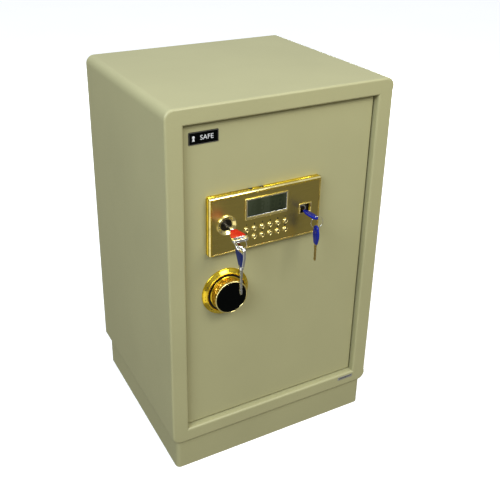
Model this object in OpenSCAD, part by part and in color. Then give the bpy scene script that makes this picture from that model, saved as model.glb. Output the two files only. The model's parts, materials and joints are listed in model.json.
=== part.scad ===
// Free-standing electronic safe: cabinet on a plinth, recessed door, bolt work, lock panel,
// knob and keys. Origin on the floor at the centre; +X to the right as seen from the front,
// -Y out of the front, +Z up.

/* [Cabinet] */
// Overall width of the cabinet
body_w = 430; // [400:5:480]
// Overall depth of the cabinet
body_d = 378; // [360:2:420]
// Overall height above the floor
body_h = 700; // [680:5:760]
// Corner radius of the case, seen from the front
corner_r = 16; // [12:1:20]
// Rounding of the case's front edges
edge_r = 4; // [2:0.5:5]
// Thickness of the case sheet
sheet_t = 3; // [2:0.5:4]
// Height of the plinth
plinth_h = 60; // [40:5:80]
// How far the plinth stands in at the sides
plinth_side = 8; // [4:1:12]
// How far the plinth stands in at the front and back
plinth_front = 4; // [2:1:10]
// Radius of the floor-anchor holes
anchor_r = 7; // [5:0.5:8]
// Distance between anchor holes, side to side
anchor_x = 280; // [240:10:300]
// Distance between anchor holes, front to back
anchor_y = 200; // [160:10:220]

/* [Front opening] */
// Width of the frame beside the opening
frame_side = 31.5; // [28:0.5:36]
// Height of the frame above the opening
frame_top = 29.5; // [26:0.5:36]
// Height of the frame between the plinth and the opening
frame_bottom = 28; // [26:0.5:36]
// Rounding of the lip round the opening
lip_r = 4; // [2:0.5:4.5]
// Depth of the jamb behind the front face
jamb_depth = 25; // [22:1:25]

/* [Interior] */
// Thickness of the liner sheet
liner_t = 2; // [1:0.5:2.5]
// Thickness of the filling behind the compartment
back_fill = 22; // [15:1:30]
// Height of the top of the shelf above the floor
shelf_z = 382; // [300:1:450]

/* [Door] */
// How far the door face lies behind the front frame
door_recess = 11; // [10:0.5:11.5]
// Gap all round the door
door_gap = 2.5; // [2.5:0.5:3]
// Thickness of the door plate
door_t = 8; // [8:0.5:9]
// Depth of the cover behind the door plate
pan_depth = 38; // [38:1:42]
// Distance of the hinge axis from the hinged edge of the door
hinge_in = 10; // [9.5:0.5:10]
// Distance of the hinge axis behind the door face
hinge_back = 7; // [6.5:0.5:7]
// Radius of the hinge pins
pin_r = 4; // [3:0.5:4]

/* [Bolt work] */
// Radius of the lock bolts
bolt_r = 9; // [7:0.5:9]
// Distance between neighbouring bolts
bolt_pitch = 150; // [140:5:155]
// Radius of the crank pin's circle
crank_r = 20; // [18:1:20]
// Angle that the knob turns through
knob_turn = 70; // [60:5:70]

/* [Lock panel] */
// Width of the lock panel
panel_w = 216; // [205:1:218]
// Height of the lock panel
panel_h = 107; // [100:1:108]
// How far the lock panel stands out of the door
panel_depth = 13; // [13:0.5:14]
// Panel centre, to the right of the cabinet's centre
panel_x = -34; // [-36:1:-32]
// Panel centre above the floor
panel_z = 489; // [485:1:492]
// Distance between neighbouring buttons in a row
button_pitch = 15.2; // [15:0.1:15.4]
// Distance between the two rows of buttons
button_rise = 15.8; // [15:0.1:16.5]
// Radius of a button
button_r = 4.5; // [4:0.1:4.6]
// Outside radius of the round key escutcheon
escutcheon_r = 18; // [17:0.5:18.5]

/* [Knob] */
// Radius of the fixed dial ring
dial_r = 44.4; // [42:0.2:46]
// Radius of the knob at its rim
knob_r = 30.8; // [29:0.2:32]
// How far the knob stands out of the door
knob_proud = 25.4; // [24:0.2:28]

/* [Keys] */
// Length of a main key's bow
bow_len = 38; // [36:1:38]
// Length of a main key's shank
shank_len = 51; // [49:1:51]
// Length of an emergency key's bow
small_bow_len = 35; // [34:1:35]
// Length of an emergency key's blade
small_blade_len = 33; // [30:1:33]
// Tilt of the emergency key's bow about its own axis
small_key_tilt = 20; // [18:1:22]

/* [Hidden] */
$fn = 64;
buttons = 12;

eps = 0.01;
cream = [0.70, 0.69, 0.54];
gold = [0.85, 0.66, 0.15];
steel = [0.75, 0.76, 0.78];

// Cabinet
front_y = -body_d / 2;
back_y = body_d / 2;
case_h = body_h - plinth_h;
case_z = plinth_h + case_h / 2;
back_inset = 1.5;
panel_back_y = back_y - back_inset;
panel_front_y = panel_back_y - sheet_t;

// Opening
open_w = body_w - 2 * frame_side;
open_lo = plinth_h + frame_bottom;
open_hi = body_h - frame_top;
open_h = open_hi - open_lo;
open_z = (open_lo + open_hi) / 2;
jamb_y = front_y + jamb_depth;
strike_y = jamb_y + 43;
liner_front_y = strike_y;
liner_back_y = panel_front_y - back_fill;

// Shelf
shelf_front_y = liner_front_y + 12;
shelf_back_y = liner_back_y - liner_t - 4;
shelf_t = 1.5;
shelf_lip = 12;
shelf_w = open_w - 5;

// Door
face_y = front_y + door_recess;
plate_y = face_y + door_t;
door_w = open_w - 2 * door_gap;
door_h = open_h - 2 * door_gap;
door_edge_r = 2.5;
hinge_x = door_w / 2 - hinge_in;
hinge_y = face_y + hinge_back;
pin_len = 15;
pin_play = 0.05;
knuckle_w = 16;
knuckle_back = 8;
knuckle_h = 28;
knuckle_skin = 1.5;
pan_t = 1.5;
pan_x0 = -165;
pan_x1 = 150;
pan_margin = 15;
pan_z0 = open_lo + door_gap + pan_margin;
pan_z1 = open_hi - door_gap - pan_margin;
pan_y = plate_y + pan_depth;
flange = 9;
screw_r = 2;

// Bolt work, in layers behind the door plate
bolts = 3;
bolt_y = plate_y + 23;
bolt_hole_play = 0.8;
cam_y0 = plate_y + 10;
cam_y1 = cam_y0 + 4;
link_y0 = cam_y1 + 1.5;
link_y1 = link_y0 + 4;
travel = 2 * crank_r * sin(knob_turn / 2);
crank_pin_r = 4;
bar_x0 = -138;
bar_x1 = -130;
bolt_len = 37;
bolt_tip = 2;
post_r = 4;
post_x = -118;
post_z = [open_z - 134, open_z + 139];
drive_top = 398;
gate_z = 452;
gate_depth = 10;
gate_w = 11.5;

// Motor and its blocking pin
motor_x = post_x;
motor_z = 412;
motor_half = 10;
blocker_y = (link_y0 + link_y1) / 2;
blocker_r = 3;
blocker_gap = 3;
blocker_len = 14;
blocker_slot = 8;

// Name plate and label
name_w = 52;
name_h = 21;
name_x = -145.4;
name_z = body_h - 55;
label_w = 35;
label_h = 7;
label_x = 165;
label_z = plinth_h + 19.5;

// Lock panel
panel_y = face_y - panel_depth;
fascia_t = 2;
fascia_y = panel_y + 0.4;
fascia_back = fascia_y + fascia_t;
panel_wall = 4.5;
inner_w = panel_w - 2 * panel_wall;
inner_h = panel_h - 2 * panel_wall;
chamfer = 3.2;
board_y = face_y - 6;

// Display
display_x = panel_x - 1.2;
display_z = panel_z + 21.3;
bezel_w = 82.5;
bezel_h = 38.6;
window_w = 76.8;
window_h = 31.4;
window_x = display_x + 0.8;
window_z = display_z + 1.4;
lcd_w = 72;
lcd_h = 27;

// Keypad
columns = 6;
pad_x = panel_x - 38.8;
pad_z = panel_z - 16.2;
button_travel = 1;
button_hole_play = 0.2;

// Main lock
lock_x = panel_x - 76.5;
lock_z = panel_z + 0.7;
lock_case_r = 10.4;
plug_r = 7;
plug_play = 0.05;
cam_throw = 8;
cam_pin_r = 2.5;
key_travel = 2 * cam_throw * sin(45);
stud_r = 3;
stud_z = lock_z - 22;

// Knob
knob_foot = 5;
knob_x = -106;
knob_z = 356.4;
spindle_r = 6;
spindle_play = 0.05;

// Main keys
bow_root_y = face_y - 33;
bow_end_y = bow_root_y - bow_len;
bow_t = 5;
bow_lean = -3.5;
bar_depth = 4;
slot_w = 20;
slot_h = 5.6;
shank_w = 7;
shank_t = 3;
collar_r = 4.2;
collar_in = 3;
collar_out = 2;
inlay_from_slot = 1.4;
inlay_from_collar = 0.3;
ring_r = 10.4;
ring_wire = 0.8;
ring_turn = 50.8;
ring_gap = 2;
ring_pos = [lock_x - 5.2, bow_end_y + 0.1, lock_z - 4.7];
spare_pos = ring_pos - [0, 0, ring_r - ring_wire - ring_gap];

// Emergency lock and keys
well_x = panel_x + 76.6;
well_z = panel_z;
small_x = well_x - 3.6;
small_z = well_z - 2.6;
small_case_r = 7.2;
small_plug_r = 5.5;
well_w = 20;
well_h = 14.6;
small_root_y = face_y - 18.6;
small_end_y = small_root_y - small_bow_len;
small_bow_w = 19;
small_bow_t = 4.5;
small_slot_w = 9.6;
small_slot_h = 4.8;
small_slot_in = 4.8;
small_ring_r = 11;
small_wire = 0.7;
small_ring_turn = 8.5;
small_ring_pos = [small_x + 3.8, small_end_y + 3.8, small_z - 8.9];
small_spare_pos = small_ring_pos - [0, 0, small_ring_r + 0.5];

// ---- Shared shapes ----

// Rectangle with round corners, centred
module rounded(w, h, r) {
    square([w - 2 * r, h], center = true);
    square([w, h - 2 * r], center = true);
    for (sx = [-1, 1], sz = [-1, 1])
        translate([sx * (w / 2 - r), sz * (h / 2 - r)]) circle(r = r);
}

// Solid between two depths, from an outline drawn in the front view
module slab(y0, y1) {
    translate([0, y1, 0]) rotate([90, 0, 0]) linear_extrude(y1 - y0) children();
}

// Round bar or hole along the depth
module rod(x, z, y0, y1, r) {
    translate([x, y1, z]) rotate([90, 0, 0]) cylinder(h = y1 - y0, r = r);
}

// Turned shape round an axis along the depth; the profile is [radius, distance out of the front]
module turned(x, z, y, profile) {
    translate([x, y, z]) rotate([90, 0, 0]) rotate_extrude() polygon(profile);
}

// Block between two corners
module block(x0, x1, y0, y1, z0, z1) {
    translate([x0, y0, z0]) cube([x1 - x0, y1 - y0, z1 - z0]);
}

// Slab with round corners of radius big and a rounded front edge of radius small
module soft_slab(w, h, y0, y1, big, small) {
    slab(y0 + small, y1) rounded(w, h, big);
    slab(y0, y1) square([w - 2 * big, h - 2 * small], center = true);
    slab(y0, y1) square([w - 2 * small, h - 2 * big], center = true);
    for (s = [-1, 1]) {
        translate([0, y0 + small, s * (h / 2 - small)]) rotate([0, 90, 0])
            cylinder(h = w - 2 * big, r = small, center = true);
        translate([s * (w / 2 - small), y0 + small, 0])
            cylinder(h = h - 2 * big, r = small, center = true);
        for (t = [-1, 1]) translate([s * (w / 2 - big), y0 + small, t * (h / 2 - big)])
            soft_corner(big, small, y1 - y0 - small);
    }
}

// Corner of a soft slab
module soft_corner(big, small, depth) {
    if (big > 2 * small) {
        rotate([90, 0, 0]) rotate_extrude() translate([big - small, 0]) circle(r = small);
        slab(-small, depth) circle(r = big - small);
    } else {
        sphere(r = big);
    }
}

// Rectangular tube along the depth
module tube_frame(w, h, y0, y1, wall) {
    slab(y0, y1) difference() {
        square([w + 2 * wall, h + 2 * wall], center = true);
        square([w, h], center = true);
    }
}

module anchor_holes(z0, z1) {
    for (sx = [-1, 1], sy = [-1, 1])
        translate([sx * anchor_x / 2, sy * anchor_y / 2, z0]) cylinder(h = z1 - z0, r = anchor_r);
}

// Heights of the bolts
function bolt_z(i) = open_z + (i - 1) * bolt_pitch;

// ---- Cabinet ----

// What is cut away in front of the rounded lip
module lip_cut() {
    difference() {
        slab(front_y - 1, front_y + lip_r)
            square([open_w + 2 * lip_r, open_h + 2 * lip_r], center = true);
        for (s = [-1, 1]) {
            translate([s * (open_w / 2 + lip_r), front_y + lip_r, 0])
                cylinder(h = body_h, r = lip_r, center = true);
            translate([0, front_y + lip_r, s * (open_h / 2 + lip_r)]) rotate([0, 90, 0])
                cylinder(h = body_w, r = lip_r, center = true);
        }
    }
}

module outer_shell() {
    color(cream) difference() {
        union() {
            difference() {
                translate([0, 0, case_z]) soft_slab(body_w, case_h, front_y, back_y, corner_r, edge_r);
                translate([0, 0, case_z]) slab(front_y + sheet_t, back_y + 1)
                    rounded(body_w - 2 * sheet_t, case_h - 2 * sheet_t, corner_r - sheet_t);
            }
            translate([0, 0, open_z]) tube_frame(open_w, open_h, front_y + 1, jamb_y, sheet_t);
        }
        translate([0, 0, open_z]) slab(front_y - 1, jamb_y + 1) square([open_w, open_h], center = true);
        translate([0, 0, open_z]) lip_cut();
        anchor_holes(plinth_h - 1, plinth_h + sheet_t + 1);
    }
}

module back_panel() {
    color(cream) translate([0, 0, case_z]) slab(panel_front_y, panel_back_y)
        rounded(body_w - 2 * sheet_t, case_h - 2 * sheet_t, corner_r - sheet_t);
}

module plinth() {
    w = body_w - 2 * plinth_side;
    d = body_d - 2 * plinth_front;
    corner = 9;
    ledge = 25;
    color(cream) difference() {
        linear_extrude(plinth_h) rounded(w, d, corner);
        translate([0, 0, sheet_t]) linear_extrude(plinth_h - 2 * sheet_t)
            rounded(w - 2 * sheet_t, d - 2 * sheet_t, corner - sheet_t);
        linear_extrude(plinth_h + 1) square([w - 2 * ledge, d - 2 * ledge], center = true);
        anchor_holes(-1, sheet_t + 1);
    }
    color(cream) difference() {
        linear_extrude(sheet_t) square([w - 2 * ledge, d - 2 * ledge], center = true);
        anchor_holes(-1, sheet_t + 1);
    }
}

module bolt_frame() {
    color("dimgray") difference() {
        union() {
            translate([0, 0, open_z]) tube_frame(open_w, open_h, jamb_y, strike_y, sheet_t);
            translate([0, 0, case_z]) slab(strike_y - sheet_t, strike_y)
                rounded(body_w - 2 * sheet_t, case_h - 2 * sheet_t, corner_r - sheet_t);
        }
        translate([0, 0, open_z]) slab(jamb_y - 1, strike_y + 1) square([open_w, open_h], center = true);
        for (i = [0:bolts - 1])
            translate([-open_w / 2 - sheet_t - 1, bolt_y, bolt_z(i)]) rotate([0, 90, 0])
                cylinder(h = sheet_t + 2, r = bolt_r + bolt_hole_play);
    }
}

module wall_fill() {
    color("gray") difference() {
        translate([0, 0, case_z]) slab(strike_y, panel_front_y)
            rounded(body_w - 2 * sheet_t, case_h - 2 * sheet_t, corner_r - sheet_t);
        translate([0, 0, open_z]) slab(strike_y - 1, liner_back_y)
            square([open_w + 2 * liner_t, open_h + 2 * liner_t], center = true);
        anchor_holes(plinth_h, open_lo);
    }
}

module inner_liner() {
    color("lightgray") difference() {
        translate([0, 0, open_z]) slab(liner_front_y, liner_back_y)
            square([open_w + 2 * liner_t, open_h + 2 * liner_t], center = true);
        translate([0, 0, open_z]) slab(liner_front_y - 1, liner_back_y - liner_t)
            square([open_w, open_h], center = true);
        anchor_holes(open_lo - liner_t - 1, open_lo + 1);
    }
}

module shelf() {
    color("lightgray") {
        block(-shelf_w / 2, shelf_w / 2, shelf_front_y, shelf_back_y, shelf_z - shelf_t, shelf_z);
        for (y = [shelf_front_y, shelf_back_y - shelf_t])
            block(-shelf_w / 2, shelf_w / 2, y, y + shelf_t, shelf_z - shelf_lip, shelf_z - shelf_t / 2);
    }
}

module shelf_pegs() {
    peg_r = 3;
    peg_len = 9;
    color(steel) for (s = [-1, 1], y = [shelf_front_y + 40, shelf_back_y - 40])
        translate([s * (open_w / 2 - peg_len / 2), y, shelf_z - shelf_t - peg_r]) rotate([0, 90, 0])
            cylinder(h = peg_len, r = peg_r, center = true);
}

module hinge_pins() {
    color(steel) for (z = [open_lo, open_hi - pin_len])
        translate([hinge_x, hinge_y, z]) cylinder(h = pin_len, r = pin_r);
}

module inspection_label() {
    color("silver") translate([label_x, 0, label_z]) slab(front_y - 0.2, front_y)
        rounded(label_w, label_h, 0.8);
}

// ---- Door ----

module knuckle_blocks(play, skin) {
    for (z = [open_lo + door_gap, open_hi - door_gap - knuckle_h])
        block(hinge_x - knuckle_w / 2 - play, hinge_x + knuckle_w / 2 + play, face_y + skin,
              plate_y + knuckle_back, z - play, z + knuckle_h + play);
}

module door_plate() {
    color(cream) difference() {
        translate([0, 0, open_z]) soft_slab(door_w, door_h, face_y, plate_y, door_edge_r, door_edge_r);
        knuckle_blocks(0, knuckle_skin);
        rod(lock_x, lock_z, face_y - 1, plate_y + 1, lock_case_r + 0.1);
        rod(small_x, small_z, face_y - 1, plate_y + 1, small_case_r + 0.1);
        rod(knob_x, knob_z, face_y - 1, plate_y + 1, 9.1);
        rod(panel_x + 50, panel_z - 32, face_y - 1, plate_y + 1, 7);
        for (p = screw_points()) rod(p[0], p[1], plate_y - 5, plate_y + 1, screw_r);
    }
}

module hinge_knuckles() {
    color(steel) difference() {
        knuckle_blocks(0, knuckle_skin);
        for (z = [open_lo, open_hi - pin_len - 1])
            translate([hinge_x, hinge_y, z]) cylinder(h = pin_len + 1, r = pin_r + pin_play);
    }
}

// Where the cover is screwed to the plate
function screw_points() = concat(
    [for (sx = [-1, 1], k = [0:3]) [sx < 0 ? pan_x0 - flange / 2 : pan_x1 + flange / 2,
                                    pan_z0 + 60 + k * (pan_z1 - pan_z0 - 120) / 3]],
    [for (z = [pan_z0 - flange / 2, pan_z1 + flange / 2], x = [-90, 80]) [x, z]]);

module door_pan() {
    battery = battery_place();
    color("lightgray") difference() {
        union() {
            block(pan_x0, pan_x1, plate_y, pan_y, pan_z0, pan_z1);
            block(pan_x0 - flange, pan_x1 + flange, plate_y, plate_y + pan_t, pan_z0 - flange,
                  pan_z1 + flange);
        }
        block(pan_x0 + pan_t, pan_x1 - pan_t, plate_y - 1, pan_y - pan_t, pan_z0 + pan_t, pan_z1 - pan_t);
        block(battery[0], battery[0] + battery[1], pan_y - pan_t - 1, pan_y + 1, battery[2],
              battery[2] + battery[3]);
        for (i = [0:bolts - 1]) translate([pan_x0 - 1, bolt_y, bolt_z(i)]) rotate([0, 90, 0])
            cylinder(h = pan_t + 2, r = bolt_r + bolt_hole_play);
        for (p = screw_points()) rod(p[0], p[1], plate_y - 1, plate_y + pan_t + 1, screw_r);
    }
}

module pan_screws() {
    head_r = 3.4;
    color(steel) for (p = screw_points()) {
        rod(p[0], p[1], plate_y - 5, plate_y + pan_t, screw_r);
        rod(p[0], p[1], plate_y + pan_t, plate_y + pan_t + 2, head_r);
    }
}

module name_plate() {
    color("black") translate([name_x, 0, name_z]) slab(face_y - 1, face_y) rounded(name_w, name_h, 1.5);
}

module lock_housing() {
    cut = chamfer * sqrt(2);
    ledge = 2.5;
    notch_at = [-27, -6];
    color(gold) translate([panel_x, 0, panel_z]) difference() {
        slab(panel_y, face_y) rounded(panel_w, panel_h, 3);
        slab(panel_y - 1, fascia_back) square([inner_w, inner_h], center = true);
        slab(panel_y, face_y + 1)
            square([inner_w - 2 * ledge, inner_h - 2 * ledge], center = true);
        for (s = [-1, 1]) {
            translate([s * panel_w / 2, panel_y, 0]) rotate([0, 0, 45])
                cube([cut, cut, body_h], center = true);
            translate([0, panel_y, s * panel_h / 2]) rotate([45, 0, 0])
                cube([body_w, cut, cut], center = true);
        }
        for (x = notch_at)
            block(x - 2.5, x + 2.5, face_y - 2.5, face_y + 1, panel_h / 2 - 1.5, panel_h / 2 + 1);
    }
}

// Button centres, counted along the top row and then the bottom row
function button_at(i) = [pad_x + (i % columns) * button_pitch, pad_z - floor(i / columns) * button_rise];

module lock_fascia() {
    color([0.55, 0.47, 0.25]) difference() {
        translate([panel_x, 0, panel_z]) slab(fascia_y, fascia_back)
            square([inner_w, inner_h], center = true);
        rod(lock_x, lock_z, fascia_y - 1, fascia_back + 1, 15.2);
        translate([window_x, 0, window_z]) slab(fascia_y - 1, fascia_back + 1)
            square([lcd_w, lcd_h], center = true);
        translate([well_x, 0, well_z]) slab(fascia_y - 1, fascia_back + 1)
            square([well_w, well_h], center = true);
        for (i = [0:buttons - 1])
            rod(button_at(i)[0], button_at(i)[1], fascia_y - 1, fascia_back + 1,
                button_r + button_hole_play);
    }
}

module display_bezel() {
    color(gold) difference() {
        translate([display_x, 0, display_z]) slab(fascia_y - 2.2, fascia_y)
            rounded(bezel_w, bezel_h, 0.8);
        translate([window_x, 0, window_z]) slab(fascia_y - 3, fascia_y + 1)
            square([window_w, window_h], center = true);
    }
}

module display_window() {
    color([0.15, 0.18, 0.14]) translate([window_x, 0, window_z]) slab(fascia_y - 1.2, fascia_y)
        square([window_w, window_h], center = true);
}

module control_board() {
    board_t = 1.6;
    board_half = 43;
    switch_r = 2.2;
    color("darkgreen") {
        block(panel_x - 46, panel_x + 48, board_y, board_y + board_t, panel_z - board_half,
              panel_z + board_half);
        translate([window_x, 0, window_z]) slab(fascia_back + 0.2, board_y + eps)
            square([lcd_w + 2, lcd_h + 2], center = true);
        for (i = [0:buttons - 1])
            rod(button_at(i)[0], button_at(i)[1], board_y - 1.2, board_y + eps, switch_r);
    }
}

module button(i) {
    cap = button_r;
    color(gold) turned(button_at(i)[0], button_at(i)[1], fascia_back, [
        [0, -1.2], [cap + 0.8, -1.2], [cap + 0.8, -0.2], [cap, -0.2], [cap, fascia_t + 1.4],
        for (a = [0:15:90]) [cap * 0.35 + cap * 0.65 * cos(a), fascia_t + 1.4 + 1.3 * sin(a)],
        [0, fascia_t + 2.7]]);
}

module key_escutcheon() {
    edge = escutcheon_r;
    hole = lock_case_r + 0.1;
    color(gold) turned(lock_x, lock_z, fascia_y, [
        [hole, -fascia_t - 0.4], [15, -fascia_t - 0.4], [15, 0], [edge, 0], [edge, 1.6],
        for (a = [0:15:180]) [edge - 1.6 + 1.6 * cos(a), 1.6 + 1.8 * sin(a)],
        [hole + 1.6, -1.2], [hole, -1.2]]);
}

module main_lock_case() {
    nut_r = 15;
    color(steel) difference() {
        union() {
            rod(lock_x, lock_z, fascia_y + 1, cam_y0 - 1, lock_case_r);
            rod(lock_x, lock_z, plate_y, plate_y + 4, nut_r);
        }
        rod(lock_x, lock_z, fascia_y, cam_y0, plug_r + plug_play);
    }
}

module emergency_bezel() {
    color(gold) translate([well_x, 0, well_z]) difference() {
        slab(fascia_y - 1.6, fascia_y) rounded(well_w + 5.2, well_h + 4.4, 0.8);
        slab(fascia_y - 3, fascia_y + 1) square([well_w, well_h], center = true);
    }
    color(gold) block(well_x + well_w / 2 - 1.8, well_x + well_w / 2, fascia_y, fascia_back + 1.2,
                      well_z - well_h / 2, well_z + well_h / 2);
}

module emergency_lock_case() {
    nut_r = 11;
    color(steel) difference() {
        union() {
            rod(small_x, small_z, fascia_back + 1.4, cam_y0 - 1, small_case_r);
            rod(small_x, small_z, plate_y, plate_y + 4, nut_r);
        }
        rod(small_x, small_z, fascia_y, cam_y0, small_plug_r + plug_play);
    }
}

module knob_base() {
    neck_r = 9;
    well_r = 35;
    bore = spindle_r + spindle_play;
    color(gold) turned(knob_x, knob_z, face_y, [
        [bore, -door_t - 1], [neck_r, -door_t - 1], [neck_r, 0], [dial_r, 0], [dial_r, 1.6],
        for (a = [0:30:90]) [dial_r - 1.6 + 1.6 * cos(a), 1.6 + 1.2 * sin(a)],
        [well_r + 2.2, 7.2], [well_r + 1, 7.4], [well_r, 6.8], [well_r, 4], [bore, 4]]);
}

module guide_posts() {
    head_r = 6.5;
    head_t = 3;
    color(steel) {
        for (z = post_z) {
            rod(post_x, z, plate_y, link_y1 + 0.5 + head_t, post_r);
            rod(post_x, z, link_y1 + 0.5, link_y1 + 0.5 + head_t, head_r);
        }
        rod(lock_x, stud_z, plate_y, link_y0 + 5.5, stud_r);
        rod(lock_x, stud_z, link_y0 + 3.5, link_y0 + 5.5, stud_r + 1.5);
    }
}

module lock_motor() {
    color("dimgray") difference() {
        block(motor_x - motor_half, motor_x + motor_half, plate_y, link_y1 + 3,
              motor_z - motor_half, motor_z + motor_half);
        translate([motor_x, blocker_y, motor_z - motor_half - 1])
            cylinder(h = 18, r = blocker_r + pin_play);
    }
}

// Left edge, width, lower edge and height of the battery opening
function battery_place() = [20, 68, 300, 62];

module battery_box() {
    p = battery_place();
    wall = 2;
    lid = 1.2;
    color([0.2, 0.2, 0.2]) difference() {
        union() {
            block(p[0], p[0] + p[1], pan_y - 20, pan_y, p[2], p[2] + p[3]);
            block(p[0] - 3, p[0] + p[1] + 3, pan_y, pan_y + lid, p[2] - 3, p[2] + p[3] + 3);
        }
        block(p[0] + wall, p[0] + p[1] - wall, pan_y - 18, pan_y - wall, p[2] + wall, p[2] + p[3] - wall);
    }
}

module batteries() {
    p = battery_place();
    cell_r = 7;
    cell_len = 50;
    pitch = 14.3;
    color("firebrick") for (k = [0:3])
        translate([p[0] + (p[1] - cell_len) / 2, pan_y - 10, p[2] + p[3] / 2 + (k - 1.5) * pitch])
            rotate([0, 90, 0]) cylinder(h = cell_len, r = cell_r);
}

// ---- Knob and bolt work ----

module knob() {
    rim = knob_r;
    face_recess = 1.2;
    color(gold) turned(knob_x, knob_z, face_y, [
        [0, knob_foot], [rim + 1.7, knob_foot], [rim + 3.2, 6.2], [rim + 3.2, 8], [rim + 1.2, 9.2],
        [rim - 0.8, 12], [rim - 2.2, 20], [rim - 1.6, 22],
        for (a = [-90:30:90]) [rim - 1.4 + 1.4 * cos(a), knob_proud - 1.8 + 1.8 * sin(a)],
        [rim - 2.4, knob_proud - 0.2], [rim - 2.4, knob_proud - face_recess],
        [0, knob_proud - face_recess]]);
}

module knob_face() {
    front = face_y - knob_proud;
    color("black") rod(knob_x, knob_z, front + 0.2, front + 1.2, knob_r - 2.5);
}

module spindle() {
    cam_r = 26;
    start = knob_turn / 2;
    color(steel) {
        rod(knob_x, knob_z, face_y - knob_foot, cam_y0 + eps, spindle_r);
        rod(knob_x, knob_z, cam_y0, cam_y1, cam_r);
        rod(knob_x + crank_r * sin(start), knob_z + crank_r * cos(start), cam_y1 - eps, link_y1 + 2,
            crank_pin_r);
    }
}

module bolt_carriage() {
    bar_half = 165;
    ear_h = 24;
    slot_play = 0.4;
    pin_x = knob_x + travel / 2;
    pin_low = knob_z + crank_r * cos(knob_turn / 2) - crank_pin_r - 1;
    pin_high = knob_z + crank_r + crank_pin_r + 1;
    block_w = 2 * blocker_r + 1.5;
    color("darkgray") difference() {
        union() {
            block(bar_x0, bar_x1, bolt_y - bolt_r, bolt_y + bolt_r, open_z - bar_half, open_z + bar_half);
            for (z = post_z)
                block(bar_x1 - eps, post_x + 30, link_y0, link_y1, z - ear_h / 2, z + ear_h / 2);
            block(bar_x1 - eps, -80, link_y0, link_y1, knob_z + 4, drive_top);
            block(bar_x1 - eps, -74, link_y0, link_y1, gate_z - 24, gate_z);
        }
        for (z = post_z) {
            rod(post_x, z, link_y0 - 1, link_y1 + 1, post_r + slot_play);
            rod(post_x + travel, z, link_y0 - 1, link_y1 + 1, post_r + slot_play);
            block(post_x, post_x + travel, link_y0 - 1, link_y1 + 1, z - post_r - slot_play,
                  z + post_r + slot_play);
        }
        block(pin_x - crank_pin_r - 0.5, pin_x + crank_pin_r + 0.5, link_y0 - 1, link_y1 + 1, pin_low,
              pin_high);
        for (x = [0, travel]) {
            block(lock_x + x - gate_w / 2, lock_x + x + gate_w / 2, link_y0 - 1, link_y1 + 1,
                  gate_z - gate_depth, gate_z + 1);
            block(motor_x + x - block_w / 2, motor_x + x + block_w / 2, link_y0 - 1, link_y1 + 1,
                  drive_top - blocker_slot, drive_top + 1);
        }
    }
}

module lock_bolts() {
    root = bolt_len - bolt_tip;
    color(steel) for (i = [0:bolts - 1])
        translate([bar_x0, bolt_y, bolt_z(i)]) rotate([0, -90, 0]) {
            cylinder(h = root, r = bolt_r);
            translate([0, 0, root]) cylinder(h = bolt_tip, r1 = bolt_r, r2 = bolt_r - bolt_tip);
        }
}

module blocking_pin() {
    color(steel) translate([motor_x, blocker_y, drive_top + blocker_gap])
        cylinder(h = blocker_len, r = blocker_r);
}

module key_bar() {
    w = 13;
    tip_w = 10;
    tip_z = 455;
    foot_z = tip_z + 9.5;
    t = 3;
    play = 0.5;
    pin_z = lock_z + cam_throw * sin(45);
    color("darkgray") difference() {
        union() {
            block(lock_x - w / 2 - 5, lock_x + w / 2, link_y0, link_y0 + t, foot_z, lock_z + 14);
            block(lock_x - tip_w / 2, lock_x + tip_w / 2, link_y0, link_y0 + t, tip_z, foot_z + eps);
        }
        block(lock_x - cam_throw - cam_pin_r - play, lock_x - cam_throw * cos(45) + cam_pin_r + play,
              link_y0 - 1, link_y0 + t + 1, pin_z - cam_pin_r - play, pin_z + cam_pin_r + play);
        for (z = [0, key_travel]) rod(lock_x, stud_z + z, link_y0 - 1, link_y0 + t + 1, stud_r + 0.4);
        block(lock_x - stud_r - 0.4, lock_x + stud_r + 0.4, link_y0 - 1, link_y0 + t + 1, stud_z,
              stud_z + key_travel);
    }
}

// ---- Locks and keys ----

module main_plug() {
    disc_r = 12;
    keyway_end = bow_root_y + shank_len + 0.4;
    color(steel) difference() {
        union() {
            rod(lock_x, lock_z, fascia_y + 1, cam_y0 + eps, plug_r);
            rod(lock_x, lock_z, cam_y0, cam_y1 - 1, disc_r);
            rod(lock_x - cam_throw * cos(45), lock_z + cam_throw * sin(45), cam_y1 - 1 - eps,
                link_y0 + 4, cam_pin_r);
        }
        block(lock_x - shank_w / 2 - 0.3, lock_x + shank_w / 2 + 0.3, fascia_y, keyway_end,
              lock_z - shank_t / 2 - 0.3, lock_z + shank_t / 2 + 0.3);
    }
}

// Outline of a main key's bow: root at the origin, end bar at y = -bow_len
module bow_outline(inset) {
    hull() {
        translate([0, -7.5 - inset / 2]) circle(r = 7.3 - inset, $fn = 32);
        for (s = [-1, 1]) {
            translate([0.7 * bow_lean + s * 8.2, -21]) circle(r = 4.5 - inset, $fn = 32);
            translate([bow_lean + s * 8.5, -bow_len + 5.5]) circle(r = 5.5 - inset, $fn = 32);
        }
    }
}

// A main key lying flat: shank towards +Y, bow towards -Y, centred on its thickness
module key_shape() {
    difference() {
        translate([0, 0, -bow_t / 2]) linear_extrude(bow_t) bow_outline(0);
        translate([bow_lean, -bow_len + bar_depth + slot_h / 2, 0])
            cube([slot_w, slot_h, bow_t + 2], center = true);
        for (s = [-1, 1]) translate([0, 0, s * (bow_t / 2 - 0.4) - 0.5 + (s - 1) * 0.1])
            linear_extrude(1.1) inlay_outline(0.1);
    }
    translate([0, -collar_in, 0]) rotate([-90, 0, 0]) cylinder(h = collar_in + collar_out, r = collar_r);
    difference() {
        translate([-shank_w / 2, 0, -shank_t / 2]) cube([shank_w, shank_len, shank_t]);
        for (s = [-1, 1], k = [0:3])
            translate([s * shank_w / 2, shank_len - 5 - 5 * k, 0]) rotate([0, 0, 45])
                cube([2, 2, shank_t + 1], center = true);
    }
}

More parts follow.
